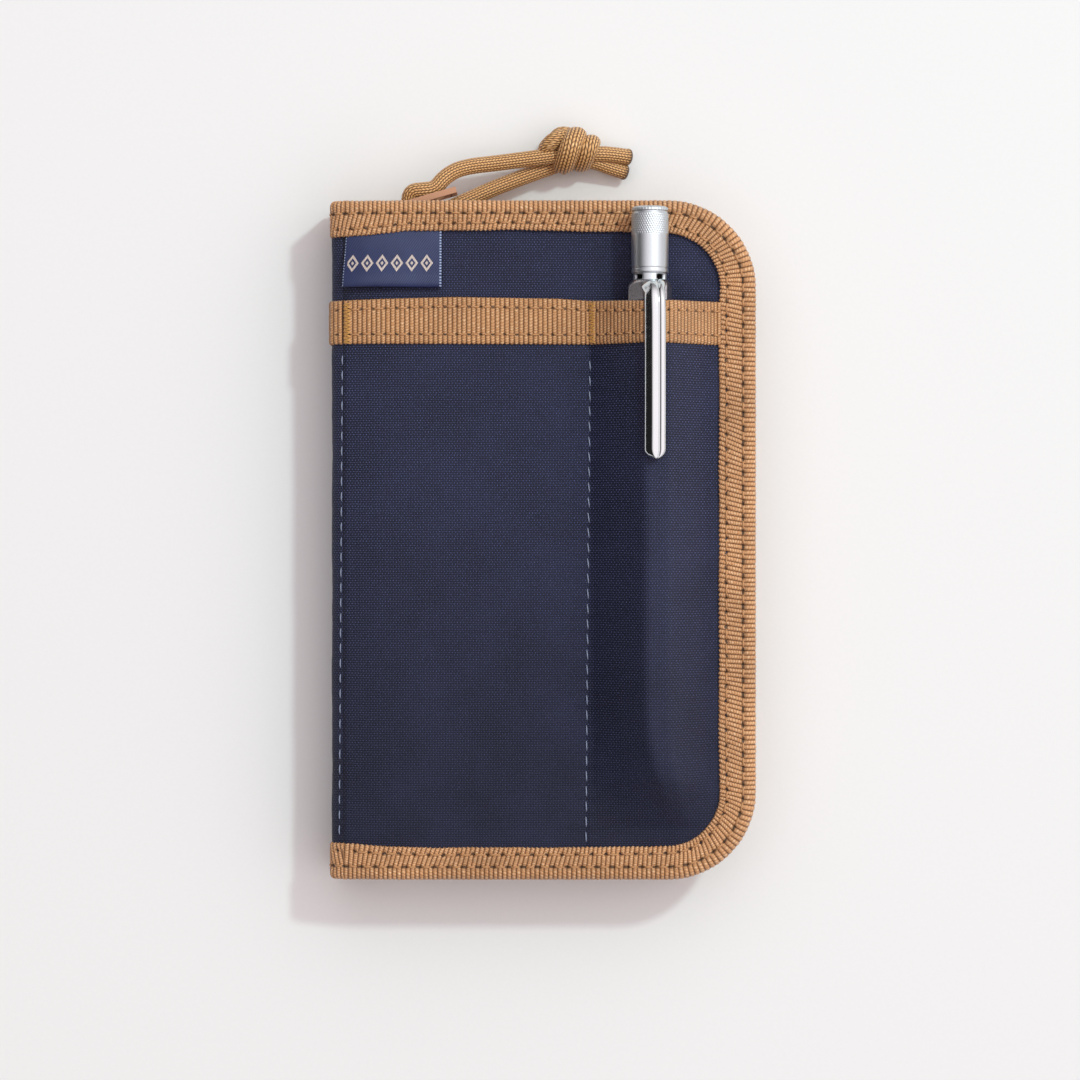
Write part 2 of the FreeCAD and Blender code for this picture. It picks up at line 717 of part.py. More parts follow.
def make_knot(cord):
    """The knot, as one barrel-shaped lump with two tails, with sockets where the cord enters it."""
    x, y, z = size("knotX"), size("knotY"), size("knotZ")
    half, radius, shoulder = size("knotLong") / 2, size("knotRadius"), size("knotShoulder")
    lump = new_body("KnotLump")
    outline = [
        (-half, ZERO),
        (half, ZERO),
        (half, radius - shoulder),
        (half - shoulder, radius),
        (shoulder - half, radius),
        (-half, radius - shoulder),
    ]
    sketch = draw(sketch_on(lump, "Profile", "XY_Plane", ZERO), outline)
    barrel = lump.newObject("PartDesign::Revolution", "Turned")
    barrel.Profile = sketch
    barrel.ReferenceAxis = (sketch, ["H_Axis"])
    barrel.Angle = 360
    lump.Tip = barrel
    place_at(lump, x, y, z)
    parts = [lump]
    for count, (turn, shift) in enumerate(KNOT_TAILS):
        tail = doc.addObject("Part::Cylinder", f"Tail{count + 1}")
        bind(tail, "Radius", size("tailThick") / 2)
        bind(tail, "Height", size("tailLong"))
        along = FreeCAD.Rotation(FreeCAD.Vector(0, 0, 1), turn)
        tail.Placement.Rotation = along.multiply(FreeCAD.Rotation(FreeCAD.Vector(0, 1, 0), SIZES["tailTilt"]))
        place_at(tail, x, y + shift, z - size("tailDrop"))
        parts.append(tail)
    fused = doc.addObject("Part::MultiFuse", "KnotWhole")
    fused.Shapes = parts
    knot = doc.addObject("Part::Cut", "pull_knot")
    knot.Base = fused
    knot.Tool = cord
    finished(knot, "pull_knot")


PEN_X, PEN_Z = size("penX"), size("penZ")
COLLAR_Y = size("penTop") - size("knobLong")
HEX_Y = COLLAR_Y - size("collarLong")
GRIP_Y = HEX_Y - size("hexLong")
NOSE_Y = GRIP_Y - size("gripLong")


def turned(label, profile):
    """A piece turned about the pen's axis, from a profile of radius and height along the pen."""
    body = new_body(label)
    sketch = draw(sketch_on(body, "Profile", "XY_Plane", ZERO), profile)
    feature = body.newObject("PartDesign::Revolution", "Turned")
    feature.Profile = sketch
    feature.ReferenceAxis = (sketch, ["V_Axis"])
    feature.Angle = 360
    sketch.Visibility = False
    body.Tip = feature
    place_at(body, PEN_X, ZERO, PEN_Z)
    return finished(body, label)


def make_pen():
    """A twist pen: knob, collar, clip, hexagonal barrel, grip and nose, with its refill inside."""
    rim, knob, top = size("knobEdge"), size("knobRadius"), size("penTop")
    turned("pen_knob", [(ZERO, COLLAR_Y), (knob, COLLAR_Y), (knob, top - rim), (knob - rim, top), (ZERO, top)])
    collar, gap = size("collarRadius"), size("collarGap")
    turned("pen_collar", [(ZERO, HEX_Y), (collar, HEX_Y), (collar, COLLAR_Y - gap), (ZERO, COLLAR_Y - gap)])
    bore, grip, nose = size("boreRadius"), size("gripRadius"), size("noseRadius")
    turned("pen_grip", [(bore, NOSE_Y), (grip, NOSE_Y), (grip, GRIP_Y), (bore, GRIP_Y)])
    foot = NOSE_Y - size("noseLong")
    tip_bore = size("tipRadius") + size("tipPlay")
    ledge = NOSE_Y - size("noseLedge")
    wide_end = (grip - size("noseStep"), NOSE_Y)
    nose_profile = [(tip_bore, foot), (nose, foot), wide_end, (bore, NOSE_Y), (tip_bore, ledge)]
    turned("pen_nose", nose_profile)

    barrel = doc.addObject("Part::Prism", "BarrelSolid")
    barrel.Polygon = 6
    bind(barrel, "Circumradius", size("hexRadius"))
    drill = doc.addObject("Part::Cylinder", "BarrelBore")
    bind(drill, "Radius", bore)
    for solid in (barrel, drill):
        bind(solid, "Height", size("hexLong"))
        along = FreeCAD.Rotation(FreeCAD.Vector(1, 0, 0), 90)
        solid.Placement.Rotation = along.multiply(FreeCAD.Rotation(FreeCAD.Vector(0, 0, 1), -SIZES["penRoll"]))
        place_at(solid, PEN_X, HEX_Y, PEN_Z)
    hollow = doc.addObject("Part::Cut", "pen_barrel")
    hollow.Base = barrel
    hollow.Tool = drill
    finished(hollow, "pen_barrel")

    clip = new_body("pen_clip")
    low, high = size("clipRise"), size("clipRise") + size("clipThick")
    end = COLLAR_Y - size("clipLong")
    outline = [
        (COLLAR_Y - gap, collar + gap),
        (COLLAR_Y - gap, high),
        (end, high),
        (end, low),
        (HEX_Y, low),
        (HEX_Y, collar + gap),
    ]
    wide = size("clipWide")
    pad(clip, draw(sketch_on(clip, "Side", "YZ_Plane", -wide / 2), outline), wide)
    place_at(clip, PEN_X, ZERO, PEN_Z)
    finished(clip, "pen_clip")

    inner, tip = size("refillRadius"), size("tipRadius")
    point = foot + size("tipHidden")
    shoulder = point + size("tipLong")
    head = shoulder + size("refillLong")
    refill = [
        (ZERO, point),
        (size("tipBall"), point),
        (tip, point + size("tipCone")),
        (tip, shoulder - size("tipShoulder")),
        (inner, shoulder),
        (inner, head),
        (ZERO, head),
    ]
    turned("pen_refill", refill)


make_covers()
make_edges()
make_spine()
make_front_pocket()
make_label()
make_inner_pockets()
make_slider()
make_tab()
make_knot(make_cord())
make_pen()


def check_document():
    """Stops at any object that failed, and at any sub-part whose shape isn't sound."""
    doc.recompute()
    for thing in doc.Objects:
        if "Invalid" in thing.State or "Error" in thing.State:
            raise RuntimeError(f"{thing.Label} failed: {thing.State}")
    for piece in BUILT:
        if piece.Shape.isNull() or not piece.Shape.isValid():
            raise RuntimeError(f"{piece.Label} has no sound shape")


check_document()
os.makedirs("parts", exist_ok=True)
for piece in BUILT:
    piece.Shape.exportStep(os.path.join("parts", piece.Label + ".step"))
    print(piece.Label, round(piece.Shape.Volume, 1), len(piece.Shape.Solids))
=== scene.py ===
import math
from functools import partial

import bpy
import numpy as np
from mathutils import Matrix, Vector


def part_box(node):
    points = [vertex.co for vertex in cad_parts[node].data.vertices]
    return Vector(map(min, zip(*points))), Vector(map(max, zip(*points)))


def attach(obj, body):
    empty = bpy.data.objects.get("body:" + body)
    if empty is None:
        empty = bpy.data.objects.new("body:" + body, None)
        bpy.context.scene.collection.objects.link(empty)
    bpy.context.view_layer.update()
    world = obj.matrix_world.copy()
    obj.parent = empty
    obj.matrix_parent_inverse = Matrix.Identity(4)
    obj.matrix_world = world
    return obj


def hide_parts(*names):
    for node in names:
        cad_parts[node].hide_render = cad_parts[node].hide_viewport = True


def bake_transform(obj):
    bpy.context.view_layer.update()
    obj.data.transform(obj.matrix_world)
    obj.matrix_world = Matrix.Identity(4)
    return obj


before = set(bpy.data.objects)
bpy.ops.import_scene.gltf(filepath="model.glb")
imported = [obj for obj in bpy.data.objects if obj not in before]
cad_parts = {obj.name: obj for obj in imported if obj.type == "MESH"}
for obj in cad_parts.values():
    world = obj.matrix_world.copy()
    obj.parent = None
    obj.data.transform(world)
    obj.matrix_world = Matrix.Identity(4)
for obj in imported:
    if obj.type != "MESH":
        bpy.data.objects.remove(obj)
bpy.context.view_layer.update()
mm = 0.001
upright = np.array([0.0, 0, 1])


def nodeBox(node):  # lowest and highest corner of a CAD node, in millimetres
    low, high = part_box(node)
    return np.array(low) / mm, np.array(high) / mm


frontLow, frontHigh = nodeBox("front_edge_binding")
case = {
    "left": nodeBox("spine_outer_panel")[0][0],  # outer face of the spine
    "cover": frontLow[0],  # where the covers start, past the fold
    "right": frontHigh[0],
    "head": frontHigh[1],
    "top": frontHigh[2],
    "coverThick": frontHigh[2] - frontLow[2],
    "corner": 22.0,  # radius of the two free corners
    "middle": frontHigh[2] / 2,
}
print("frame read, case is", [round(float(v), 2) for v in case.values()])

# the camera hangs straight above the case; frameWidth is what it takes in at the level of the case's top
viewing = {"height": 920.0, "across": -0.75, "frameWidth": 270.0, "sensor": 36.0, "farthest": 20.0}


def makeCamera():
    camera = bpy.data.cameras.new("overhead")
    camera.sensor_width = viewing["sensor"]
    reach = viewing["height"] - case["top"]
    camera.lens = viewing["sensor"] * reach / viewing["frameWidth"]
    camera.clip_end = viewing["farthest"]
    rig = bpy.data.objects.new("overhead", camera)
    rig.location = (viewing["across"] * mm, 0, viewing["height"] * mm)
    bpy.context.collection.objects.link(rig)
    bpy.context.scene.camera = rig


makeCamera()


def linear(code):  # one sRGB hex value to linear light
    parts = [int(code[i : i + 2], 16) / 255 for i in (1, 3, 5)]
    return tuple(c / 12.92 if c <= 0.04045 else ((c + 0.055) / 1.055) ** 2.4 for c in parts) + (1.0,)


def addNode(tree, kind, *values, out=0, **named):
    # one node: values go into its sockets in order, or a dictionary's by name, and named ones go into a
    # socket or a setting. It gives one of the node's outputs
    node = tree.nodes.new("ShaderNode" + kind)
    sockets = dict(values[0]) if values and isinstance(values[0], dict) else dict(enumerate(values))
    for name, value in named.items():
        if name in node.inputs:
            sockets[name] = value
        else:
            setattr(node, name, value)
    for name, value in sockets.items():
        if isinstance(value, bpy.types.NodeSocket):
            tree.links.new(value, node.inputs[name])
        else:
            node.inputs[name].default_value = value
    return node.outputs[out] if node.outputs else None


def newMaterial(name):  # an empty material, and addNode for its tree
    material = bpy.data.materials.new(name)
    material.use_nodes = True
    material.node_tree.nodes.clear()
    return material, partial(addNode, material.node_tree)


def finishMaterial(add, ground, layers, relief, sockets):
    # colours laid over the ground in turn, each by its share, then the bump, the surface shader and the
    # output; relief is the height, its depth in millimetres and its strength
    color = linear(ground)
    for share, over in layers:
        over = linear(over) if isinstance(over, str) else over
        color = add("Mix", {0: share, 6: color, 7: over}, out=2, data_type="RGBA")
    height, depth, strength = relief
    normal = add("Bump", {"Height": height, "Distance": depth * mm, "Strength": strength})
    add("OutputMaterial", add("BsdfPrincipled", {"Base Color": color, "Normal": normal, **sockets}))


# the covers sink towards the spine, which is soft and round
roll = {"from": -32.25, "depth": 5.2, "reach": 21.0}


def settle(points):
    # everything draws in towards mid-thickness along a quarter ellipse: z = middle + (z - middle) *
    # share, where share falls from 1 as 1 - depth / middle * (1 - sqrt(1 - t^2))
    t = np.clip((roll["from"] - points[:, 0]) / roll["reach"], 0, 1)
    share = 1 - roll["depth"] / case["middle"] * (1 - np.sqrt(1 - t * t))
    settled = points.copy()
    settled[:, 2] = case["middle"] + (points[:, 2] - case["middle"]) * share
    return settled


def shell(loops, uv=None):
    # loops (pieces, n, m, 3): n closed loops of m points each, joined side by side; the first and last
    # loop are closed by strips that join point c to point m-1-c
    loops = np.asarray(loops, float)
    if loops.ndim == 3:
        loops = loops[None]
        uv = None if uv is None else np.asarray(uv, float)[None]
    count, n, m = loops.shape[:3]
    i, j = np.meshgrid(np.arange(n - 1), np.arange(m), indexing="ij")
    beside = (j + 1) % m
    faces = np.stack([i * m + j, i * m + beside, (i + 1) * m + beside, (i + 1) * m + j], -1).reshape(-1, 4)
    if uv is None:
        uv = np.zeros((count, n, m + 1, 2))
    corners = np.stack([uv[:, i, j], uv[:, i, j + 1], uv[:, i + 1, j + 1], uv[:, i + 1, j]], -2)
    c = np.arange(m // 2 - 1)
    cap = np.stack([c, c + 1, m - 2 - c, m - 1 - c], -1)
    faces = np.concatenate([faces, cap[:, ::-1], cap + (n - 1) * m])
    corners = corners.reshape(count, -1, 4, 2)
    corners = np.concatenate([corners, uv[:, 0][:, cap[:, ::-1]], uv[:, n - 1][:, cap]], 1)
    faces = faces[None] + (np.arange(count) * n * m)[:, None, None]
    return loops.reshape(-1, 3), faces.reshape(-1, 4), corners.reshape(-1, 4, 2)


def slab(top, bottom, uv):  # two sheets of points, closed round their edges
    loops = np.concatenate([top, bottom[:, ::-1]], 1)
    return shell(loops, np.concatenate([uv, uv[:, ::-1], uv[:, :1]], 1))


def joined(parts):  # several meshes as one, the faces counted on from the points before them
    points, faces, corners = zip(*parts)
    starts = np.cumsum([0] + [len(p) for p in points[:-1]])
    faces = [f + start for f, start in zip(faces, starts)]
    return np.concatenate(points), np.concatenate(faces), np.concatenate(corners)


def makePiece(name, part, material, body=None, values=None, replaces=(), over=False):
    # a named object from points, faces and cloth coordinates; over turns it about mid-thickness, z to
    # top - z
    points, faces, corners = part
    if over:
        points = points * [1, 1, -1] + [0, 0, case["top"]]
    if body in ("front", "back"):
        points = settle(points)
    a, b, c, d = (points[faces[:, k]] for k in range(4))
    volume = (a * np.cross(b, c)).sum() + (a * np.cross(c, d)).sum()
    if volume < 0:  # turned so that the faces point outwards
        faces, corners = faces[:, ::-1], corners[:, ::-1]
    mesh = bpy.data.meshes.new(name)
    mesh.from_pydata((points * mm).tolist(), [], faces.tolist())
    layer = mesh.uv_layers.new(name="cloth")
    layer.data.foreach_set("uv", np.ascontiguousarray(corners, np.float32).ravel())
    for key, value in (values or {}).items():
        field = mesh.attributes.new(key, "FLOAT", "POINT")
        field.data.foreach_set("value", np.asarray(value, np.float32).ravel())
    mesh.polygons.foreach_set("use_smooth", [True] * len(faces))
    mesh.materials.append(material)
    mesh.update()
    piece = bpy.data.objects.new(name, mesh)
    bpy.context.collection.objects.link(piece)
    if body:
        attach(piece, body)
    if replaces:
        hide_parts(*replaces)
    return piece


def unit(v):
    return v / np.linalg.norm(v, axis=-1, keepdims=True)


def smoothStep(x, low, high):  # 0 to 1 between low and high, as 3 t^2 - 2 t^3
    t = np.clip((x - low) / (high - low), 0, 1)
    return t * t * (3 - 2 * t)


def waver(x, seed, wave):  # smooth unevenness between about -1 and 1, the sum of three sines of odd lengths
    return (
        np.sin(2 * np.pi * x / wave + seed)
        + 0.6 * np.sin(2 * np.pi * x / (wave * 0.43) + 2.3 * seed)
        + 0.4 * np.sin(2 * np.pi * x / (wave * 0.19) + 4.1 * seed)
    ) / 2


def tubeLoops(line, radius, sides, reference, flatten=1.0):
    # circle of points round each point of the line, square to its direction; reference fixes where
    # angle 0 is
    line = np.asarray(line, float)
    along = unit(np.gradient(line, axis=0))
    side = unit(np.cross(along, np.asarray(reference, float)))
    up = np.cross(side, along)
    angle = np.arange(sides) / sides * 2 * np.pi
    radius = np.asarray(radius, float)
    if radius.ndim < 2:
        radius = np.broadcast_to(np.reshape(radius, (-1, 1)), (len(line), sides))
    return (
        line[:, None]
        + (radius * np.cos(angle))[..., None] * side[:, None]
        + (radius * np.sin(angle) * flatten)[..., None] * up[:, None]
    )


def smoothLine(points, spacing):
    # the smooth spline that has these points as its control points, read as a polyline and respaced
    # evenly
    curve = bpy.data.curves.new("line", "CURVE")
    curve.dimensions = "3D"
    spline = curve.splines.new("NURBS")
    spline.points.add(len(points) - 1)
    for spot, place in zip(spline.points, points):
        spot.co = (*place, 1)
    spline.order_u = 3
    spline.use_endpoint_u = True
    spline.resolution_u = 24
    holder = bpy.data.objects.new("line", curve)
    bpy.context.collection.objects.link(holder)
    mesh = bpy.data.meshes.new_from_object(holder)
    line = np.array([v.co for v in mesh.vertices], float).reshape(-1, 3)
    bpy.data.objects.remove(holder)
    bpy.data.meshes.remove(mesh)
    step = np.r_[0, np.cumsum(np.linalg.norm(np.diff(line, axis=0), axis=1))]
    where = np.linspace(0, step[-1], max(4, int(round(step[-1] / spacing)) + 1))
    return np.stack([np.interp(where, step, line[:, k]) for k in range(3)], 1), where


# the pull cord: 4 mm braided nylon, one loop through the tab with both ends in the knot. Diameter,
# spacing and route are in metres, tick and relief in millimetres; slant and offset are shares of a tick
cord = {
    "diameter": 0.004, "spacing": 0.00022, "sides": 60, "columns": 18, "tick": 0.84, "relief": 0.13,
    "slant": 0.62, "offset": 0.31,
}
cordRoute = [
    (0.0028, 0.0976, 0.0082), (-0.0100, 0.0958, 0.0083), (-0.0205, 0.0945, 0.0100), (-0.0250, 0.0918, 0.0113),
    (-0.0272, 0.0888, 0.0117), (-0.0300, 0.0884, 0.0121), (-0.0335, 0.0882, 0.0119),
    (-0.0341, 0.0845, 0.0108),
    (-0.0318, 0.0825, 0.0099), (-0.0270, 0.0826, 0.0095), (-0.0202, 0.0857, 0.0086),
    (-0.0100, 0.0906, 0.0064),
    (0.0030, 0.0954, 0.0045),
]


def braided(line, where, radius, reference, sides, flatten=1.0):
    # braided sheath: columns of short slanting ticks, neighbouring columns leaning opposite ways. The
    # radius grows by |sin| across each column times the rounded wave of the ticks along it
    turn = np.arange(sides + 1) / sides * cord["columns"]
    odd, inside = np.floor(turn) % 2, turn % 1.0
    phase = where[:, None] / cord["tick"] + (1 - 2 * odd) * inside * cord["slant"] + odd * cord["offset"]
    lift = np.abs(np.sin(np.pi * inside)) ** 0.7 * (0.45 + 0.55 * np.abs(np.sin(np.pi * phase)))
    loops = tubeLoops(line, radius + cord["relief"] * (lift[:, :-1] - 0.6), sides, reference, flatten)
    return shell(loops, np.stack(np.broadcast_arrays(where[:, None], turn), -1))


def clothUv(add, across, along):  # cloth coordinates, and each times pi / thread spacing in mm
    place = add("UVMap", uv_map="cloth")
    u = add("Math", add("SeparateXYZ", place), math.pi / across, operation="MULTIPLY")
    v = add("Math", add("SeparateXYZ", place, out=1), math.pi / along, operation="MULTIPLY")
    return place, u, v


def roundTops(add, phase):  # a row of round tops, |sin|
    return add("Math", add("Math", phase, operation="SINE"), operation="ABSOLUTE")


def plainWeave(add, u, v):
    # rounded crossings, |sin u sin v|, and the product's sign, which tells warp on top from weft on top
    warp, weft = add("Math", u, operation="SINE"), add("Math", v, operation="SINE")
    product = add("Math", warp, weft, operation="MULTIPLY")
    return add("Math", product, operation="ABSOLUTE"), add("Math", product, operation="SIGN")


def wovenCanvas(name, dark, light, across=0.4, along=0.58):
    # waxed cotton duck, plain woven: dull, each crossing a light dot on a dark ground, which is a painted
    # highlight on its crown, with paler rubbed streaks and painted shade towards the foot. its threads are
    # 0.4 by 0.58 mm apart, and they wander from their lines
    material, add = newMaterial(name)
    place, u, v = clothUv(add, across, along)
    wander = add("TexNoise", place, Scale=0.35, Detail=3)
    u = add("Math", u, add("MapRange", wander, 0, 1, -0.7, 0.7), operation="ADD")
    v = add("Math", v, add("MapRange", wander, 0, 1, 0.7, -0.7), operation="ADD")
    raised, over = plainWeave(add, u, v)
    speckle = add("TexNoise", place, Scale=2.6, Roughness=0.6)
    cloudy = add("TexNoise", place, Scale=0.045, Detail=4, Roughness=0.6)
    fibres = add("MapRange", speckle, 0.36, 0.66, 0.25, 1.0)
    # painted highlight: the light colour laid on the raised crossings
    dot = add("Math", add("MapRange", raised, 0.3, 0.8), fibres, operation="MULTIPLY")
    dot = add("Math", dot, add("MapRange", over, -1, 1, 0.22, 1.0), operation="MULTIPLY")
    footShade = add("MapRange", add("SeparateXYZ", place, out=1), 15, -78, 0, 0.62)  # painted shade: darker towards the foot, where the lamp's light falls off
    rubbed = add("MapRange", cloudy, 0.35, 0.75, 0.0, 0.08)
    woven = add("Math", raised, add("MapRange", over, -1, 1, 0.6, 1.0), operation="MULTIPLY")
    height = add("Math", speckle, 0.5, woven, operation="MULTIPLY_ADD")
    finish = {"Roughness": 0.55, "Specular IOR Level": 0.32, "Sheen Weight": 0.05, "Sheen Roughness": 0.5}
    finishMaterial(add, dark, [(dot, light), (footShade, dark), (rubbed, light)], (height, 0.16, 0.9), finish)
    return material


def ribbedWebbing(name, base, deep, bright, rib=1.15, bead=0.64):
    # nylon grosgrain tape, woven: ribs lie across it, each rib a row of round beads of yarn; satin, with
    # painted shade in the grooves and in the stitch holes and a painted highlight on the crowns of the beads.
    # Ribs and beads are 1.15 and 0.64 mm apart
    material, add = newMaterial(name)
    place, u, v = clothUv(add, rib, bead)
    speckle = add("TexNoise", place, Scale=1.1, Detail=3, Roughness=0.6)
    cloudy = add("TexNoise", place, Scale=0.06, Detail=3)
    wander = add("MapRange", add("TexNoise", place, Scale=0.5), 0, 1, -1.2, 1.2)
    v = add("Math", v, wander, operation="ADD")
    ribCount = add("Math", u, math.pi, operation="DIVIDE")
    ribNumber = add("Math", ribCount, operation="FLOOR")
    v = add("Math", ribNumber, 1.9, v, operation="MULTIPLY_ADD")  # each rib's beads are offset
    lean = add("Math", ribCount, operation="FRACT")  # and lean with the yarn's twist
    v = add("Math", v, lean, operation="ADD")
    ribTop = add("Math", roundTops(add, u), 0.65, operation="POWER")
    crown = add("Math", ribTop, add("MapRange", roundTops(add, v), 0, 1, 0.5, 1.0), operation="MULTIPLY")
    fibres = add("MapRange", speckle, 0.4, 0.7)
    # painted highlight: the bright colour on the crowns of the beads
    shine = add("Math", add("MapRange", crown, 0.6, 1.0), fibres, operation="MULTIPLY")
    # painted shade: the stitch holes, marked by the hole attribute, are coloured near black
    hole = add("Attribute", attribute_name="hole", out="Fac")
    hole = add("Math", hole, add("MapRange", speckle, 0.3, 0.6, 0.5, 1.0), operation="MULTIPLY")
    # painted shade: the deep ground shows where the crown is low, in the grooves between ribs and between
    # beads
    layers = [
        (add("MapRange", crown, 0.1, 0.62), base),
        (shine, bright),
        (add("MapRange", cloudy, 0.3, 0.8, 0.0, 0.35), deep),
        (add("MapRange", hole, 0.15, 0.6, 0.0, 0.85), "#20120a"),
    ]
    height = add("Math", speckle, 0.3, crown, operation="MULTIPLY_ADD")
    finish = {"Roughness": 0.55, "Specular IOR Level": 0.4, "Sheen Weight": 0.15, "Sheen Roughness": 0.4}
    finishMaterial(add, deep, layers, (height, 0.24, 0.9), finish)
    return material


def spunThread(name, base, deep, twist=0.35):
    # bonded nylon sewing thread: two plies twisted, a soft gloss, with painted shade between the plies
    material, add = newMaterial(name)
    place, u, v = clothUv(add, twist, 0.5)
    ply = roundTops(add, add("Math", u, v, operation="ADD"))
    layers = [(add("MapRange", ply, 0.1, 0.8), base)]
    finishMaterial(add, deep, layers, (ply, 0.05, 0.6), {"Roughness": 0.45, "Sheen Weight": 0.1})
    return material


def braidedNylon(name, base, deep, bright):
    # braided nylon cord: a painted highlight on the crown of each tick of yarn, painted shade in brown in
    # between, slightly glossy.
    # The same ticks as in the mesh: columns lean opposite ways, each tick a rounded wave along its
    # column
    material, add = newMaterial(name)
    place = add("UVMap", uv_map="cloth")
    along, around = add("SeparateXYZ", place), add("SeparateXYZ", place, out=1)
    odd = add("Math", add("Math", around, operation="FLOOR"), 2.0, operation="MODULO")
    inside = add("Math", around, operation="FRACT")
    lean = add("Math", add("Math", odd, -2.0, 1.0, operation="MULTIPLY_ADD"), inside, operation="MULTIPLY")
    phase = add("Math", along, cord["tick"], operation="DIVIDE")
    phase = add("Math", lean, cord["slant"], phase, operation="MULTIPLY_ADD")
    phase = add("Math", odd, cord["offset"], phase, operation="MULTIPLY_ADD")
    tick = roundTops(add, add("Math", phase, math.pi, operation="MULTIPLY"))
    crown = roundTops(add, add("Math", inside, math.pi, operation="MULTIPLY"))
    lift = add("Math", crown, add("MapRange", tick, 0, 1, 0.3, 1.0), operation="MULTIPLY")
    speckle = add("TexNoise", place, Scale=1.7)
    fibres = add("MapRange", speckle, 0.35, 0.7)
    shine = add("Math", add("MapRange", lift, 0.6, 1.0), fibres, operation="MULTIPLY")
    burnt = add("Attribute", attribute_name="burnt", out="Fac")
    # painted shade between the ticks where lift is low, and a painted highlight on their crowns; the burnt
    # ends are the cord's own colour
    layers = [(add("MapRange", lift, 0.14, 0.66), base), (shine, bright), (burnt, "#2b1a12")]
    finish = {"Roughness": 0.5, "Specular IOR Level": 0.45, "Sheen Weight": 0.12}
    finishMaterial(add, deep, layers, (lift, 0.12, 0.8), finish)
    return material


navyCanvas = wovenCanvas("navyWaxedCanvas", "#080c21", "#566092")
tanWebbing = ribbedWebbing("tanGrosgrainBinding", "#d59c69", "#4c2f1a", "#fbdcb2")
tanBand = ribbedWebbing("tanGrosgrainBand", "#ca9360", "#4c2f1a", "#f6d3a6", rib=1.19)
tanThread = spunThread("tanSewingThread", "#cf9a66", "#875a36")
blueThread = spunThread("paleBlueSewingThread", "#95a0b9", "#525d77")
goldThread = spunThread("goldBarTackThread", "#e2ab5c", "#7c5220")
tanCord = braidedNylon("tanBraidedCord", "#d9a262", "#4a2c13", "#fbdca4")
print("camera and finishes ready")


def makeCord():
    line, where = smoothLine(cordRoute, cord["spacing"])
    part = braided(line / mm, where / mm, cord["diameter"] / 2 / mm, upright, cord["sides"])
    return makePiece("pullCord", part, tanCord, "pull", replaces=["pull_cord"]), line, where


pullCord, cordLine, cordWhere = makeCord()
print("cord made,", round(float(cordWhere[-1]), 4), "m")

# the webbing sewn round both covers, in millimetres; rows are the stitch rows' distances from its inner
# and outer edge, fromEdge and nearRoll the places of its points across the outer leg
binding = {
    "rib": 1.15, "relief": 0.2, "thick": 0.7, "ragged": 0.14, "samples": 4, "proud": 0.35, "under": -0.62,
    "innerRow": 1.85, "outerRow": 3.25, "stitch": 3.7, "outerShift": 1.4, "innerThread": 2.6,
    "outerThread": 2.0,
    "threadRadius": 0.26, "threadBow": 0.22, "holeDepth": 0.75, "endWide": 9.0, "endThick": 3.2,
    "endRun": 5.0,
    "fromEdge": np.array([0, 0.3, 0.85, 1.4, 1.85, 2.3, 2.9]), "nearRoll": np.array([4.4, 3.75, 3.25, 2.75]),
}
# visible width along the edge: part of the way round, millimetres
bindingWidths = [
    (0, 9.0), (0.015, 8.8), (0.05, 7.75), (0.12, 7.5), (0.2, 8.0), (0.28, 8.8), (0.34, 9.25), (0.66, 9.3),
    (0.72, 8.9), (0.8, 8.25), (0.93, 8.1), (0.975, 8.5), (1, 9.0),
]
walkInset = 4.0  # the line whose length counts as the way round the edge


def edgeWalk(u):
    # round the three free sides from the spine's head: straight, quarter turn, straight, quarter turn,
    # straight. u is the distance along walkInset; gives the point on the outline and the outward
    # direction
    r = case["corner"]
    head, fore = case["right"] - r - case["cover"], 2 * (case["head"] - r)
    arc = (r - walkInset) * math.pi / 2
    turns = np.clip((u - head) / arc, 0, 1) + np.clip((u - head - arc - fore) / arc, 0, 1)
    angle = math.pi / 2 * (1 - turns)
    out = np.stack([np.cos(angle), np.sin(angle), 0 * angle], -1)
    right = np.clip(u, None, head) - np.clip(u - head - 2 * arc - fore, 0, None)
    down = np.clip(u - head - arc, 0, fore)
    centre = np.stack([case["cover"] + right, case["head"] - r - down, 0 * u], -1)
    return centre + r * out, out


def edgeLength():
    r = case["corner"]
    return 2 * (case["right"] - r - case["cover"]) + 2 * (case["head"] - r) + (r - walkInset) * math.pi


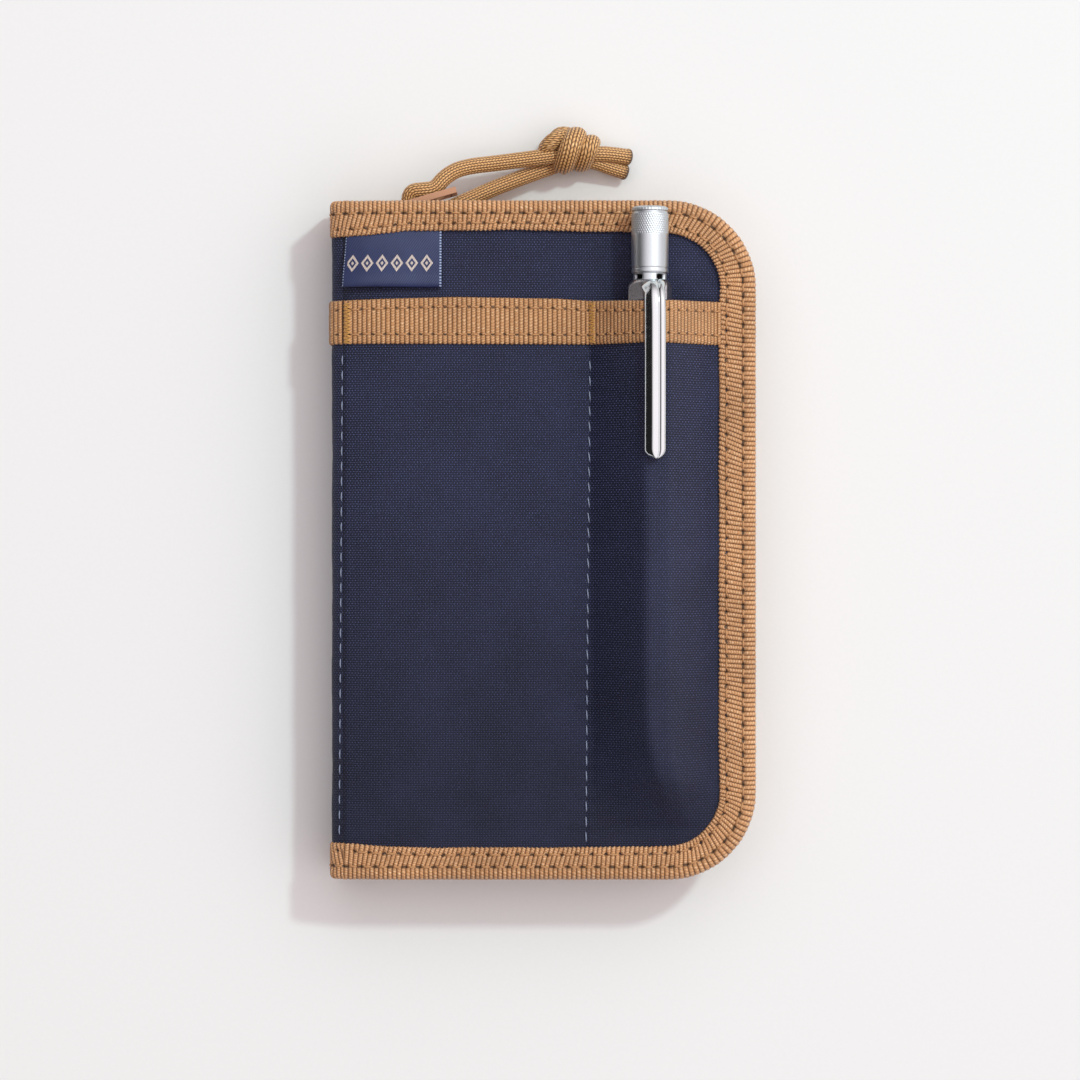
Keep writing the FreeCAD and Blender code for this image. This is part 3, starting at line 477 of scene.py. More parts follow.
def bindingPart(u, start, inward, normal, width, thick):
    # webbing folded over an edge: outer leg, half-round roll, inner leg. Ribs are a raised cosine along
    # u, and the stitch holes are dents in two rows of the outer leg
    b = binding
    width = width + b["ragged"] * np.cos(2 * np.pi * u / b["rib"]) + 0.12 * waver(u, 1.7, 31)
    w, half, one = width[:, None], thick[:, None] / 2, np.ones((len(u), 1))
    leg = np.concatenate([w - b["fromEdge"], (w + 1.5) / 2, b["nearRoll"] * one], 1)
    turn = np.radians(np.linspace(90, 270, 10))
    back = np.array([3.6, 4.9, 6.0]) * one
    inset = np.concatenate([leg, half * (1 + np.cos(turn)), back], 1)
    onLeg = np.arange(inset.shape[1]) < leg.shape[1]
    depth = np.concatenate([0 * leg, half * (np.sin(turn) - 1), -thick[:, None] + 0 * back], 1)
    depth[:, :2] += [-0.35, -0.1]  # the sewn edge presses into the canvas
    away = np.concatenate([0 * leg, np.cos(turn) * one, 0 * back], 1)  # surface direction, inward part
    up = np.concatenate([0 * leg + 1, np.sin(turn) * one, 0 * back - 1], 1)
    slant = (0.22 + 0.2 * waver(u, 2.9, 83))[:, None] * (inset - 4.5)
    slant = np.where(onLeg, slant, slant[:, onLeg][:, -1:])
    ribs = b["relief"] * (0.5 + 0.5 * np.cos(2 * np.pi * ((u[:, None] + slant) / b["rib"] + 0.5)))
    hole = stitchHoles(u, inset, width) * onLeg
    lift = ribs - b["holeDepth"] * hole + 0.05 * waver(u[:, None] + 3.1 * inset, 0.7, 7)
    inset, depth = inset + away * lift, depth + up * lift
    t, innerHalf, innerTurn = b["thick"], half - b["thick"], np.radians([250, 205, 155, 110])
    inner = [6.0 * one, 4.4 * one, half + innerHalf * np.cos(innerTurn), 4.4 * one, 7.0 * one, w - 0.15]
    innerDepth = [(2 * -half + t) * np.ones((1, 2)), -half + innerHalf * np.sin(innerTurn)]
    innerDepth.append(-t * np.ones((len(u), 3)))
    inset, depth = np.concatenate([inset, *inner], 1), np.concatenate([depth, *innerDepth], 1)
    extra = inset.shape[1] - hole.shape[1]
    hole = np.pad(hole, ((0, 0), (0, extra)))
    loops = start[:, None] + inset[..., None] * inward[:, None] + depth[..., None] * normal[:, None]
    steps = np.hypot(np.diff(inset[0]), np.diff(depth[0]))
    around = np.r_[0, np.cumsum(steps), steps.sum() + t]
    slant = np.concatenate([slant, np.repeat(slant[:, -1:], extra, 1), slant[:, :1]], 1)
    return shell(loops, np.stack(np.broadcast_arrays(u[:, None] + slant, around[None]), -1)), hole


def stitchHoles(u, inset, width):  # two rows of dents: bells across, times bells of the fourth power along
    b = binding
    result = 0
    inner = (width - b["innerRow"])[:, None]
    for row, length, shift in ((inner, 0.6, 0.0), (b["outerRow"], 0.95, b["outerShift"])):
        phase = (u[:, None] + shift) % b["stitch"] - b["stitch"] / 2
        result = result + np.exp(-(((inset - row) / 0.4) ** 2)) * np.exp(-((phase / length) ** 4))
    return np.clip(result, 0, 1)


def stitchLoops(a, b, normal, radius, bow, rings=5, sides=6):
    # short threads from a to b (k, 3): tubes that bow outwards by sin, thinner and sunk at both ends
    normal = np.broadcast_to(normal, a.shape)
    t = np.linspace(0, 1, rings)[None, :, None]
    line = a[:, None] * (1 - t) + b[:, None] * t + normal[:, None] * (bow * (np.sin(np.pi * t) - 0.45))
    side = unit(np.cross(unit(b - a), normal))
    angle = (np.arange(sides) / sides * 2 * np.pi)[None, None, :, None]
    swell = radius * np.sqrt(np.sin(np.pi * (0.12 + 0.76 * t)))
    circle = np.cos(angle) * side[:, None, None] + np.sin(angle) * normal[:, None, None]
    loops = line[:, :, None] + swell[..., None] * circle
    length = np.linalg.norm(b - a, axis=-1)[:, None, None]
    uv = np.broadcast_arrays(length * t[..., 0][..., None], np.linspace(0, 1.4, sides + 1))
    return shell(loops, np.stack(uv, -1))


def stitchRows(first, last, widthAt, place):
    # both rows of threads: widthAt(u) is the binding's width, place(u, inset) gives a point and its
    # direction
    b = binding
    inner = (lambda at: widthAt(at) - b["innerRow"], 0.0, b["innerThread"])
    outer = (lambda at: b["outerRow"] + 0 * at, b["outerShift"], b["outerThread"])
    rows = []
    for row, shift, long in (inner, outer):
        start = np.arange(first - shift - long / 2, last - long, b["stitch"])
        ends = []
        for at in (start, start + long):
            point, normal = place(at, row(at))
            ends.append(point + normal * b["relief"] * 0.6)
        rows.append(stitchLoops(*ends, normal, b["threadRadius"], b["threadBow"]))
    return joined(rows)


def coverBinding(name, node, body, over):
    # bindingPart carried round the edge; it thins to endThick where it meets the fold
    b = binding
    length = edgeLength()
    u = np.arange(0, length, b["rib"] / b["samples"])
    u[-1] = length
    outline, out = edgeWalk(u)
    width = np.interp(u / length, *zip(*bindingWidths))
    fade = smoothStep(np.minimum(u, length - u), 0, b["endRun"])
    thick = b["endThick"] + (case["coverThick"] + 0.1 - b["endThick"]) * fade
    top = case["top"] + b["under" if over else "proud"] + 0.12 * waver(u, 0.3, 47)
    part, hole = bindingPart(
        u, outline + top[:, None] * upright, -out, np.broadcast_to(upright, out.shape), width, thick
    )

    def onCover(at, inset):
        edge, direction = edgeWalk(at)
        return edge - direction * inset[:, None] + np.interp(at, u, top)[:, None] * upright, upright

    thread = stitchRows(b["stitch"], length, lambda at: np.interp(at, u, width), onCover)
    makePiece(name, part, tanWebbing, body, {"hole": hole}, [node], over)
    makePiece(name + "Thread", thread, tanThread, body, over=over)


coverBinding("frontBinding", "front_edge_binding", "front", False)
coverBinding("backBinding", "back_edge_binding", "back", True)
print("cover bindings made")

# the fold over the spine: how far the covers have sunk where it starts, and the levels between which it
# bends
coverTurn = (roll["from"] - case["cover"]) / roll["reach"]
coverDrop = roll["depth"] * (1 - math.sqrt(1 - coverTurn**2))
fold = {
    "canvasProud": -0.2, "bindingProud": 0.15, "liningProud": -1.9,
    "straight": case["middle"] - roll["depth"],
    "start": case["top"] - roll["depth"], "end": case["top"] - coverDrop,
}


def foldArc(proud):
    # the rest of the covers' quarter ellipse, as far as the cover's edge: its half width, angles and
    # arc lengths
    wide = roll["from"] - case["left"] + proud
    turn = np.linspace(0, math.acos((roll["from"] - case["cover"]) / wide), 60)
    steps = np.hypot(np.diff(-wide * np.cos(turn)), np.diff(roll["depth"] * np.sin(turn)))
    return wide, turn, np.r_[0, np.cumsum(steps)]


def foldLength(proud):  # from mid-height to the cover's edge
    return fold["straight"] + foldArc(proud)[2][-1]


def foldSection(w, level, proud):
    # up the spine from mid-height, then over the ellipse: w is the distance from mid-height, level the
    # height that the surface reaches on the flat of the cover; x = from - wide cos, z = middle + rise
    # (straight + depth sin)
    middle, depth = case["middle"], roll["depth"]
    wide, turn, run = foldArc(proud)
    angle = np.interp(w - fold["straight"], run, turn)
    rise = (level - middle) / (case["top"] - middle)
    x = roll["from"] - wide * np.cos(angle)
    z = middle + rise * (np.clip(w, None, fold["straight"]) + depth * np.sin(angle))
    return x, z, unit(np.stack([-rise * depth * np.cos(angle), 0 * angle, wide * np.sin(angle)], -1))


def blendFold(piece, upper):
    low, high, start, end = case["left"], case["cover"], fold["start"], fold["end"]
    if upper:
        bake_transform(piece)
    else:
        start, end = case["top"] - start, case["top"] - end
        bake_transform(piece)


def foldBinding(name, sign, upper, replaced):
    # bindingPart carried over the fold, at the head (sign 1) or at the foot (sign -1)
    b = binding
    level, proud = case["top"] + b["proud" if upper else "under"], fold["bindingProud"]
    length = foldLength(proud)
    w = np.r_[np.arange(0, length, b["rib"] / b["samples"])[:-1], length]
    x, z, normal = foldSection(w, level, proud)
    start = np.stack([x, 0 * w + sign * case["head"], z], -1)
    inward = np.broadcast_to([0.0, -sign, 0], start.shape)
    thick = b["endThick"] * (1 - coverDrop / case["middle"]) + 0 * w
    part, hole = bindingPart(w - length, start, inward, normal, b["endWide"] + 0 * w, thick)

    def onFold(at, inset):
        x, z, normal = foldSection(at + length, level, proud)
        return np.stack([x, sign * (case["head"] - inset), z], -1), normal

    thread = stitchRows(-b["stitch"], 0, lambda at: b["endWide"] + 0 * at, onFold)
    blendFold(makePiece(name, part, tanWebbing, None, {"hole": hole}, replaced, not upper), upper)
    blendFold(makePiece(name + "Thread", thread, tanThread, over=not upper), upper)


foldBinding("headFoldUpper", 1, True, ["spine_head_binding"])
foldBinding("headFoldLower", 1, False, [])
foldBinding("footFoldUpper", -1, True, ["spine_foot_binding"])
foldBinding("footFoldLower", -1, False, [])

# the front pocket, in millimetres: heights of its flat part, of the pen's ridge and of the facet beside
# it, and where along x they lie; crown lifts its flat part about crownAt, and soften rounds every
# crease
panel = {
    "level": 21.75, "headLevel": 21.25, "mouth": 59.4, "seam": 11.75, "thick": 0.6, "ridge": 25.5,
    "ridgeTop": 34.25, "shoulder": 31.3, "shoulderTop": 32.75, "end": 42.9, "crown": 1.6, "crownAt": (-6, -9),
    "crownLeft": 48, "crownRight": 18, "crownUp": 69,
    "soften": ((-1.1, 0.15), (-0.55, 0.2), (0, 0.3), (0.55, 0.2), (1.1, 0.15)),
}
# height of the raised part along the pen, as a share of its full height, and how far its ridge drifts
ridgeFade = [
    (-77, 0.0), (-72, 0.08), (-66, 0.36), (-60, 0.7), (-55.5, 0.84), (-50, 0.92), (-44, 0.96), (-36, 0.99),
    (-20, 1), (90, 1),
]
ridgeDrift = [(-77, 6.5), (-70, 6.5), (-62, 4.5), (-57, 2.2), (-50, 0.7), (-42, 0.2), (-36, 0.0), (90, 0.0)]


def canvasLevel(y):  # height of the outer canvas next to the fold: lower beyond the pocket's mouth
    return panel["headLevel"] + (panel["level"] - panel["headLevel"]) * (1 - smoothStep(y, 57.0, 60.0))


def panelTop(x, y):
    # the pocket: flat, then a tent from the seam up to the pen's ridge, across its facet and down to
    # the edge, averaged over the soften offsets, and a crown that falls by squares along x and by cubes
    # along y
    p = panel
    share, drift = np.interp(y, *zip(*ridgeFade)), np.interp(y, *zip(*ridgeDrift))
    total = 0
    for off, weight in p["soften"]:
        at = x + off
        left = np.clip((at - p["seam"]) / (p["ridge"] + drift - p["seam"]), 0, 1)
        left = left * (p["ridgeTop"] - p["level"])
        step = np.clip((at - p["ridge"] - drift) / (p["shoulder"] - p["ridge"]), 0, 1)
        edge = (at - p["shoulder"] - drift * 0.6) / (p["end"] - p["shoulder"] - drift * 0.6)
        right = np.clip(edge, 0, 1) * (p["shoulderTop"] - p["level"])
        total = total + weight * (left - step * (p["ridgeTop"] - p["shoulderTop"]) - right)
    acrossCrown = (x - p["crownAt"][0]) / np.where(x < p["crownAt"][0], p["crownLeft"], p["crownRight"])
    alongCrown = np.abs((y - p["crownAt"][1]) / p["crownUp"])
    crown = np.clip(1 - acrossCrown**2, 0, None) * np.clip(1 - alongCrown**3, 0, None)
    puff = 0.13 * waver(x + 0.3 * y, 0.9, 41) * waver(y - 0.2 * x, 2.1, 53) + p["crown"] * crown
    flatPart = canvasLevel(y) * (x < p["seam"]) + p["level"] * (x >= p["seam"])
    return flatPart + total * share + puff * smoothStep(x, case["cover"], case["cover"] + 8)


def sheetPiece(name, x, y, top, thick, material, body, replaces=(), down=1.0):
    # a sheet given by the height of its upper face on a grid; down is -1 when it hangs the other way up
    face, back = np.stack([x, y, top], -1), np.stack([x, y, top - thick * down], -1)
    return makePiece(name, slab(face, back, np.stack([x, y], -1)), material, body, None, replaces)


def cornerEnd(y, right, low, high, radius):  # a sheet's edge with round corners: centre + sqrt(r^2 - dy^2)
    over = np.clip(np.maximum(y - (high - radius), (low + radius) - y), 0, radius)
    return right - radius + np.sqrt(radius**2 - over**2)


def roundedGrid(left, right, low, high, radius, across, up):
    # rows of points from the left edge to the rounded right edge, a little closer near both ends
    row, half = np.linspace(-1, 1, up), (high - low) / 2
    y = (low + high) / 2 + half * (0.15 * np.sin(np.pi / 2 * row) + 0.85 * row)
    end = cornerEnd(y, right, low, high, radius)
    x = left + (end[:, None] - left) * np.linspace(0, 1, across)
    return x, np.broadcast_to(y[:, None], x.shape)


def foldSheet(name, w, y, level, proud, puff, thick, material, upper, replaced):
    # cloth over the fold: foldSection on a grid, pushed out by puff along its own direction
    gridW, gridY = np.meshgrid(w, y)
    x, z, normal = foldSection(gridW, level, proud)
    face = np.stack([x, gridY, z], -1) + normal * puff(gridW, gridY)[..., None]
    part = slab(face, face - normal * thick, np.stack([gridW, gridY], -1))
    blendFold(makePiece(name, part, material, None, None, replaced, not upper), upper)


def foldCanvas(name, upper, level, replaced):
    high = case["head"] - 7.0
    y = np.linspace(-high, high, 140)
    proud = fold["canvasProud"]
    length = foldLength(proud)
    w = np.r_[np.linspace(0, fold["straight"], 6)[:-1], np.linspace(fold["straight"], length, 14)]

    def puff(w, y):
        return 0.12 * waver(y, 1.1, 37) * (1 - smoothStep(w, length - 2.5, length))

    foldSheet(name, w, y, level(y)[:, None], proud, puff, 0.45, navyCanvas, upper, replaced)


backLevel = 20.95  # the back cover's canvas, counted from the closed case's top as if turned over
foldCanvas("spineCanvasUpper", True, canvasLevel, ["spine_outer_panel"])
foldCanvas("spineCanvasLower", False, lambda y: backLevel + 0 * y, [])


def coverCanvas():
    # nearly flat sheets, with a product of two waves as their unevenness
    edge = 2.6
    right, head, radius = case["right"] - edge, case["head"] - edge, case["corner"] - edge
    x, y = roundedGrid(case["cover"], right, -head, head, radius, 60, 110)
    top = panel["headLevel"] + 0.06 * waver(x, 0.4, 33) * waver(y, 1.2, 27)
    sheetPiece("frontCanvas", x, y, top, 0.7, navyCanvas, "front", ["front_outer_panel"])
    x, y = roundedGrid(case["cover"], right, -head, head, radius, 110, 150)
    puff = 0.14 * waver(x, 2.4, 47) * waver(y, 0.2, 61) * smoothStep(x, case["cover"], case["cover"] + 6)
    top = case["top"] - backLevel - puff
    sheetPiece("backCanvas", x, y, top, 0.5, navyCanvas, "back", ["back_outer_panel"], -1)


coverCanvas()
print("canvas made")

seams = {"stitch": 3.8, "long": 2.5, "radius": 0.18, "bow": 0.3, "stop": 48.0}


def seamX(y):  # the sleeve's seam leans a little to the right towards the head
    return panel["seam"] + (y - seams["stop"]) / 120


def makePocket():
    # panelTop on a grid that is closer at the seam and over the ridge; the seam pulls it in by a bell
    # across the line times a squared cosine along it, and puckers it by a wider bell times a sine
    p = panel
    left, right, squeezeFrom = case["cover"], case["right"] - 6.4, 31
    columns = np.unique(
        np.r_[
            np.linspace(left, p["seam"] - 1.5, 52), p["seam"] + np.linspace(-1.4, 1.4, 9),
            np.linspace(p["seam"] + 1.6, 24, 16), np.linspace(24, 33, 15), np.linspace(33, right, 17),
        ]
    )
    low = -case["head"] + 6.4
    y = np.linspace(low, p["mouth"], 190)
    end = cornerEnd(y, right, low, math.inf, case["corner"] - 6.4)
    squeeze = np.clip(columns[None] - squeezeFrom, 0, None) / (right - squeezeFrom)
    x = np.minimum(columns[None], squeezeFrom) + squeeze * (end[:, None] - squeezeFrom)
    gridY = np.broadcast_to(y[:, None], x.shape)
    fromSeam, phase = x - seamX(gridY), 2 * np.pi * gridY / seams["stitch"]
    pull = np.exp(-((fromSeam / 0.55) ** 2)) * (0.16 + 0.2 * np.cos(phase) ** 2)
    pucker = 0.1 * np.exp(-((fromSeam / 3.5) ** 2)) * np.sin(phase)
    top = panelTop(x, gridY) + (pucker - pull) * (gridY < seams["stop"])
    node = ["front_pocket_panel"]
    sheetPiece("frontPocket", x, gridY, top, p["thick"], navyCanvas, "front", node)


makePocket()


def seamThread():
    # running stitches along the sleeve's seam, and along the fold near the cover's edge
    high, long, proud = 47.6 - seams["long"], seams["long"], fold["canvasProud"]
    start = np.arange(-case["head"] + 9.5, high, seams["stitch"])
    ends = []
    for at, aside in ((start, 0.12), (start + long, -0.12)):
        x = seamX(at) + 0.07 * np.sin(at * 1.7)
        ends.append(np.stack([x + aside, at, panelTop(x, at) - 0.05], -1))
    thread = stitchLoops(*ends, upright, seams["radius"], seams["bow"])
    makePiece("pocketSeamThread", thread, blueThread, "front")
    start = np.arange(-case["head"] + 11, high, seams["stitch"])
    ends = []
    for at in (start, start + long):
        w = foldLength(proud) - 0.25 - (47 - at) / 125 * 0.9
        x, z, normal = foldSection(w, panel["level"], proud)
        ends.append(np.stack([x, at, z], -1) + normal * 0.02)
    thread = stitchLoops(*ends, normal, seams["radius"], seams["bow"])
    blendFold(makePiece("spineSeamThread", thread, blueThread), True)


seamThread()

# the band at the pocket's mouth; inset is the distance of its points from its two edges, row that of
# its stitches
band = {
    "low": 48.9, "rib": 1.19, "relief": 0.12, "thick": 0.7, "row": 2.4, "stitch": 3.0, "gap": 0.9,
    "ragged": 0.1,
    "inset": np.array([0, 0.25, 0.9, 1.5, 1.95, 2.4, 2.85, 3.4, 4.4]), "backPoints": [17, 12, 9, 8, 5, 0],
}
bandTopEdge = [
    (-54, 59.9), (-40, 60.3), (-22, 60.75), (4, 60.3), (12, 59.75), (25.5, 59.1), (32, 59.3), (50, 59.6),
]


def bandPart(s, surface):
    # ribbed tape over a surface: surface(y) gives points and directions for every s. Ribs are a raised
    # cosine along s, and two rows of dents take the stitches
    b = band
    across, wave = surface(0 * s)[0][:, 0], np.cos(2 * np.pi * s / b["rib"])
    top = np.interp(across, *zip(*bandTopEdge)) + b["ragged"] * wave
    low = b["low"] - 0.004 * across + b["ragged"] * wave
    inset, keep = b["inset"], b["backPoints"]
    y = np.concatenate([top[:, None] - inset, low[:, None] + inset[::-1]], 1)
    rows, edge = np.r_[inset, inset[::-1]], np.r_[-0.4, -0.1, np.zeros(14), -0.1, -0.4]
    phase = s[:, None] % b["stitch"] - b["stitch"] / 2
    hole = np.exp(-(((rows - b["row"]) / 0.33) ** 2)) * np.exp(-((phase / 0.5) ** 4))
    lift = b["relief"] * (0.5 - 0.5 * wave)[:, None] - 0.3 * hole + edge
    points, normal = (np.stack(each, 1) for each in zip(*(surface(y[:, k]) for k in range(y.shape[1]))))
    face = points + normal * (b["thick"] + lift)[..., None]
    back = points[:, keep] + normal[:, keep] * 0.02
    around = 60 - np.r_[y[0], y[0][keep], y[0, 0]]
    uv = np.stack(np.broadcast_arrays(s[:, None], around[None]), -1)
    starts = np.arange(s[0] + 2.0, s[-1] - 2.4, b["stitch"]) // b["stitch"] * b["stitch"]
    starts = starts + b["stitch"] / 2 + b["gap"] / 2
    threads = []
    for row in (top - b["row"], low + b["row"]):
        point, way = surface(row)
        ends = []
        for at in (starts, starts + b["stitch"] - b["gap"]):
            base = np.stack([np.interp(at, s, point[:, k]) for k in range(3)], -1)
            direction = unit(np.stack([np.interp(at, s, way[:, k]) for k in range(3)], -1))
            ends.append(base + direction * (b["thick"] + 0.06))
        threads.append(stitchLoops(*ends, direction, 0.24, 0.2))
    hole = np.pad(hole, ((0, 0), (0, len(keep))))
    return shell(np.concatenate([face, back], 1), uv), hole, joined(threads)


def makeBand():
    fine = np.linspace(case["cover"], case["right"] - 8.4, 2400)
    walked = np.r_[0, np.cumsum(np.hypot(np.diff(fine), np.diff(panelTop(fine, 54 + 0 * fine))))]
    s = np.arange(0, walked[-1], band["rib"] / 4)
    x = np.interp(s, walked, fine)

    def overPocket(y):
        slope = (panelTop(x + 0.2, y) - panelTop(x - 0.2, y)) / 0.4
        level = panelTop(x, np.minimum(y, 57.0))
        return np.stack([x, y, level], -1), unit(np.stack([-slope, 0 * x, 0 * x + 1], -1))

    part, hole, thread = bandPart(s, overPocket)
    makePiece("pocketBand", part, tanBand, "front", {"hole": hole}, ["pocket_band"])
    makePiece("pocketBandThread", thread, tanThread, "front")
    length = foldLength(fold["canvasProud"])
    w = np.r_[np.arange(0.6, length, band["rib"] / 4)[:-1], length]

    def roundFold(y):
        x, z, normal = foldSection(w, panel["level"] + 0.05, fold["canvasProud"])
        return np.stack([x, y, z], -1), normal

    part, hole, thread = bandPart(w - length, roundFold)
    blendFold(makePiece("pocketBandFold", part, tanBand, None, {"hole": hole}), True)


makeBand()

tack = {"wide": 1.9, "step": 0.46, "radius": 0.2, "turn": 0.18}


def barTack(name, centre):
    # close zigzag of thread: short threads lying side by side across the band
    at = np.arange(band["low"] + 0.5, 59.3, tack["step"])
    turn = np.where(np.arange(len(at)) % 2, tack["turn"], -tack["turn"])
    ends = []
    for side in (-1, 1):
        level = panelTop(centre + side * 0.9 + 0 * at, np.minimum(at, 57)) + band["thick"] + 0.12
        ends.append(np.stack([centre + side * tack["wide"] / 2 + 0 * at, at + side * turn, level], -1))
    makePiece(name, stitchLoops(*ends, upright, tack["radius"], 0.3), goldThread, "front")


barTack("seamBarTack", 12.3)
barTack("spineBarTack", -49.1)
print("pocket and band made")

# the woven label is a folded loop sewn in under the binding; motif has its pitch, row, middle and half
# width, and path its section, along the case and up
label = {
    "left": -49.4, "right": -25.4, "slant": 0.075, "thick": 0.32, "lift": 0.75, "pitch": 3.65, "row": 69.2,
    "middle": -37.9, "half": 10.6, "selvedge": (-49.15, -25.85),
    "path": [
        (77.6, 21.62), (75.5, 21.75), (72.5, 22.05), (69, 22.7), (66, 23.25), (64.5, 23.35), (63.65, 23.15),
        (63.35, 22.8), (63.6, 22.45), (64.6, 22.2), (67, 21.9), (71, 21.6), (74, 21.58),
    ],
}


def wovenLabel(name, ground, deep, pale):
    # damask label, woven: satin ground with a row of lozenges in raised cream yarn, and a dotted
    # selvedge. A lozenge is where |across| times 2.3 plus |along| / 2.25 is near 0.78, with a heart
    # where it is near 0
    material, add = newMaterial(name)
    place, u, v = clothUv(add, 0.42, 0.42)
    across, along = add("SeparateXYZ", place), add("SeparateXYZ", place, out=1)
    twill = roundTops(add, add("Math", v, 0.5, u, operation="MULTIPLY_ADD"))
    glow = add("TexNoise", place, Scale=0.16)
    cell = add("Math", add("Math", across, 60.0, operation="ADD"), label["pitch"], operation="DIVIDE")
    cell = add("Math", add("Math", cell, operation="FRACT"), 0.5, operation="SUBTRACT")
    upward = add("Math", add("Math", along, label["row"], operation="SUBTRACT"), operation="ABSOLUTE")
    reach = add("Math", upward, 2.25, operation="DIVIDE")
    reach = add("Math", add("Math", cell, operation="ABSOLUTE"), 2.3, reach, operation="MULTIPLY_ADD")
    outline = add("Math", reach, 0.78, 0.2, operation="COMPARE")
    heart = add("Math", reach, 0.24, operation="LESS_THAN")
    inside = add("Math", across, label["middle"], label["half"], operation="COMPARE")
    motif = add("Math", add("Math", outline, heart, operation="MAXIMUM"), inside, operation="MULTIPLY")
    strand = roundTops(add, add("Math", u, 1.3, operation="MULTIPLY"))
    yarn = add("Mix", {0: strand, 6: linear("#8c7f78"), 7: linear(pale)}, out=2, data_type="RGBA")
    leftEdge, rightEdge = label["selvedge"]
    edges = add("Math", across, leftEdge, operation="LESS_THAN")
    edges = add("Math", edges, add("Math", across, rightEdge, operation="GREATER_THAN"), operation="MAXIMUM")
    dots = add("Math", add("Math", along, 9.0, operation="MULTIPLY"), operation="SINE")
    dots = add("Math", edges, add("Math", dots, -0.1, operation="GREATER_THAN"), operation="MULTIPLY")
    # painted shade: the deep ground in the twill's valleys, and grey between the strands of the cream yarn
    layers = [
        (add("MapRange", twill, 0.1, 0.9), ground),
        (add("MapRange", glow, 0.35, 0.75, 0, 0.2), "#2f4379"),
        (motif, yarn),
        (dots, "#9fb0cf"),
    ]
    height = add("Math", motif, 1.4, twill, operation="MULTIPLY_ADD")
    finishMaterial(add, deep, layers, (height, 0.08, 0.8), {"Roughness": 0.46, "Sheen Weight": 0.04})
    return material


def makeLabel():
    # the path's section, half a thickness to each side, carried across; its lower end slants, and its
    # left side stands up by a square
    line = smoothLine([(*spot, 0) for spot in label["path"]], 0.28)[0]
    along = unit(np.gradient(line, axis=0))
    out = np.stack([along[:, 1], -along[:, 0]], 1) * label["thick"] / 2
    section = np.concatenate([line[:, :2] + out, (line[:, :2] - out)[::-1]])
    y, z, share = section[:, 0], section[:, 1], np.linspace(0, 1, 56)[:, None]
    left = label["left"] - (75.6 - y) * label["slant"]
    x = left + share * (label["right"] - left)
    wave = 0.16 * np.sin(share * 5.2 + 0.4) * smoothStep(77 - y, 0, 12)
    wave = wave + label["lift"] * (1 - share) ** 2 * smoothStep(77 - y, 3, 12)
    loops = np.stack([x, y - 0.25 * share * (y < 66), z + wave], -1)
    flatX = label["left"] + share * (label["right"] - label["left"])
    uv = np.stack(np.broadcast_arrays(flatX, y[None]), -1)
    part = shell(loops, np.concatenate([uv, uv[:, :1]], 1))
    damask = wovenLabel("wovenDamaskLabel", "#1c2a5c", "#10193a", "#dfd2c8")
    makePiece("wovenLabel", part, damask, "front", None, ["woven_label"])


makeLabel()

# the knot: two wraps of cord over a core, two short tails with melted ends. Each strand has its route,
# where its angle 0 lies, its radius and how much wider it is one way, in millimetres
knot = {"sides": 48, "spacing": 0.24, "burnt": 0.9}
knotStrands = {
    "core": ([(3.0, 98.4, 6.2), (6.0, 98.7, 6.2), (9.0, 98.6, 6.0), (13.0, 97.8, 5.6)], (0, 0, 1), 2.7, 1.0),
    "entry": ([(1.8, 97.5, 8.0), (5.0, 98.1, 7.2), (8.0, 98.3, 6.6)], (0, 0, 1), 1.95, 1.0),
    "entryLow": ([(2.0, 95.1, 4.6), (5.0, 96.2, 5.0), (8.6, 97.0, 5.4)], (0, 0, 1), 1.95, 1.0),
    "firstLump": (
        [(1.0, 99.0, 4.6), (0.4, 99.2, 7.6), (1.6, 100.5, 9.6), (4.0, 101.9, 9.2), (5.4, 102.4, 7.0)],
        (0.5, 0.87, 0), 1.9, 1.12,
    ),
    "secondLump": (
        [(2.6, 101.5, 4.2), (3.4, 103.0, 6.0), (5.6, 103.6, 6.8), (7.4, 103.0, 5.0)],
        (0, 0, 1), 1.75, 1.0,
    ),
    "mainWrap": (
        [(5.9, 96.0, 2.6), (5.0, 94.9, 5.6), (5.5, 95.5, 9.2), (7.0, 99.4, 12.4), (8.3, 102.6, 9.8),
         (8.5, 103.3, 6.2), (8.0, 102.0, 2.8), (7.0, 98.4, 1.8), (6.1, 96.0, 2.8)],
        (1, 0, 0), 1.95, 1.36,
    ),
    "secondWrap": (
        [(10.0, 96.2, 2.6), (9.5, 95.4, 5.0), (10.2, 96.2, 8.0), (11.4, 99.0, 10.8), (12.2, 101.0, 8.6),
         (12.2, 101.2, 5.4), (11.6, 99.8, 2.6), (10.8, 97.6, 1.9), (10.1, 96.2, 2.8)],
        (1, 0, 0), 1.95, 1.26,
    ),
    "cross": ([(3.8, 99.6, 3.4), (2.6, 97.6, 2.6), (3.6, 95.6, 2.6), (6.0, 94.9, 3.2)], (0, 0, 1), 1.7, 1.0),
    "tailHigh": (
        [(9.8, 98.2, 6.8), (13.2, 98.1, 6.6), (17.5, 98.2, 5.2), (22.4, 97.6, 3.4)],
        (0, 0, 1), 2.0, 1.0,
    ),
    "tailLow": (
        [(9.6, 97.0, 5.2), (13.2, 96.3, 5.0), (17.2, 94.9, 3.6), (21.6, 93.7, 2.6)],
        (0, 0, 1), 1.85, 1.0,
    ),
}


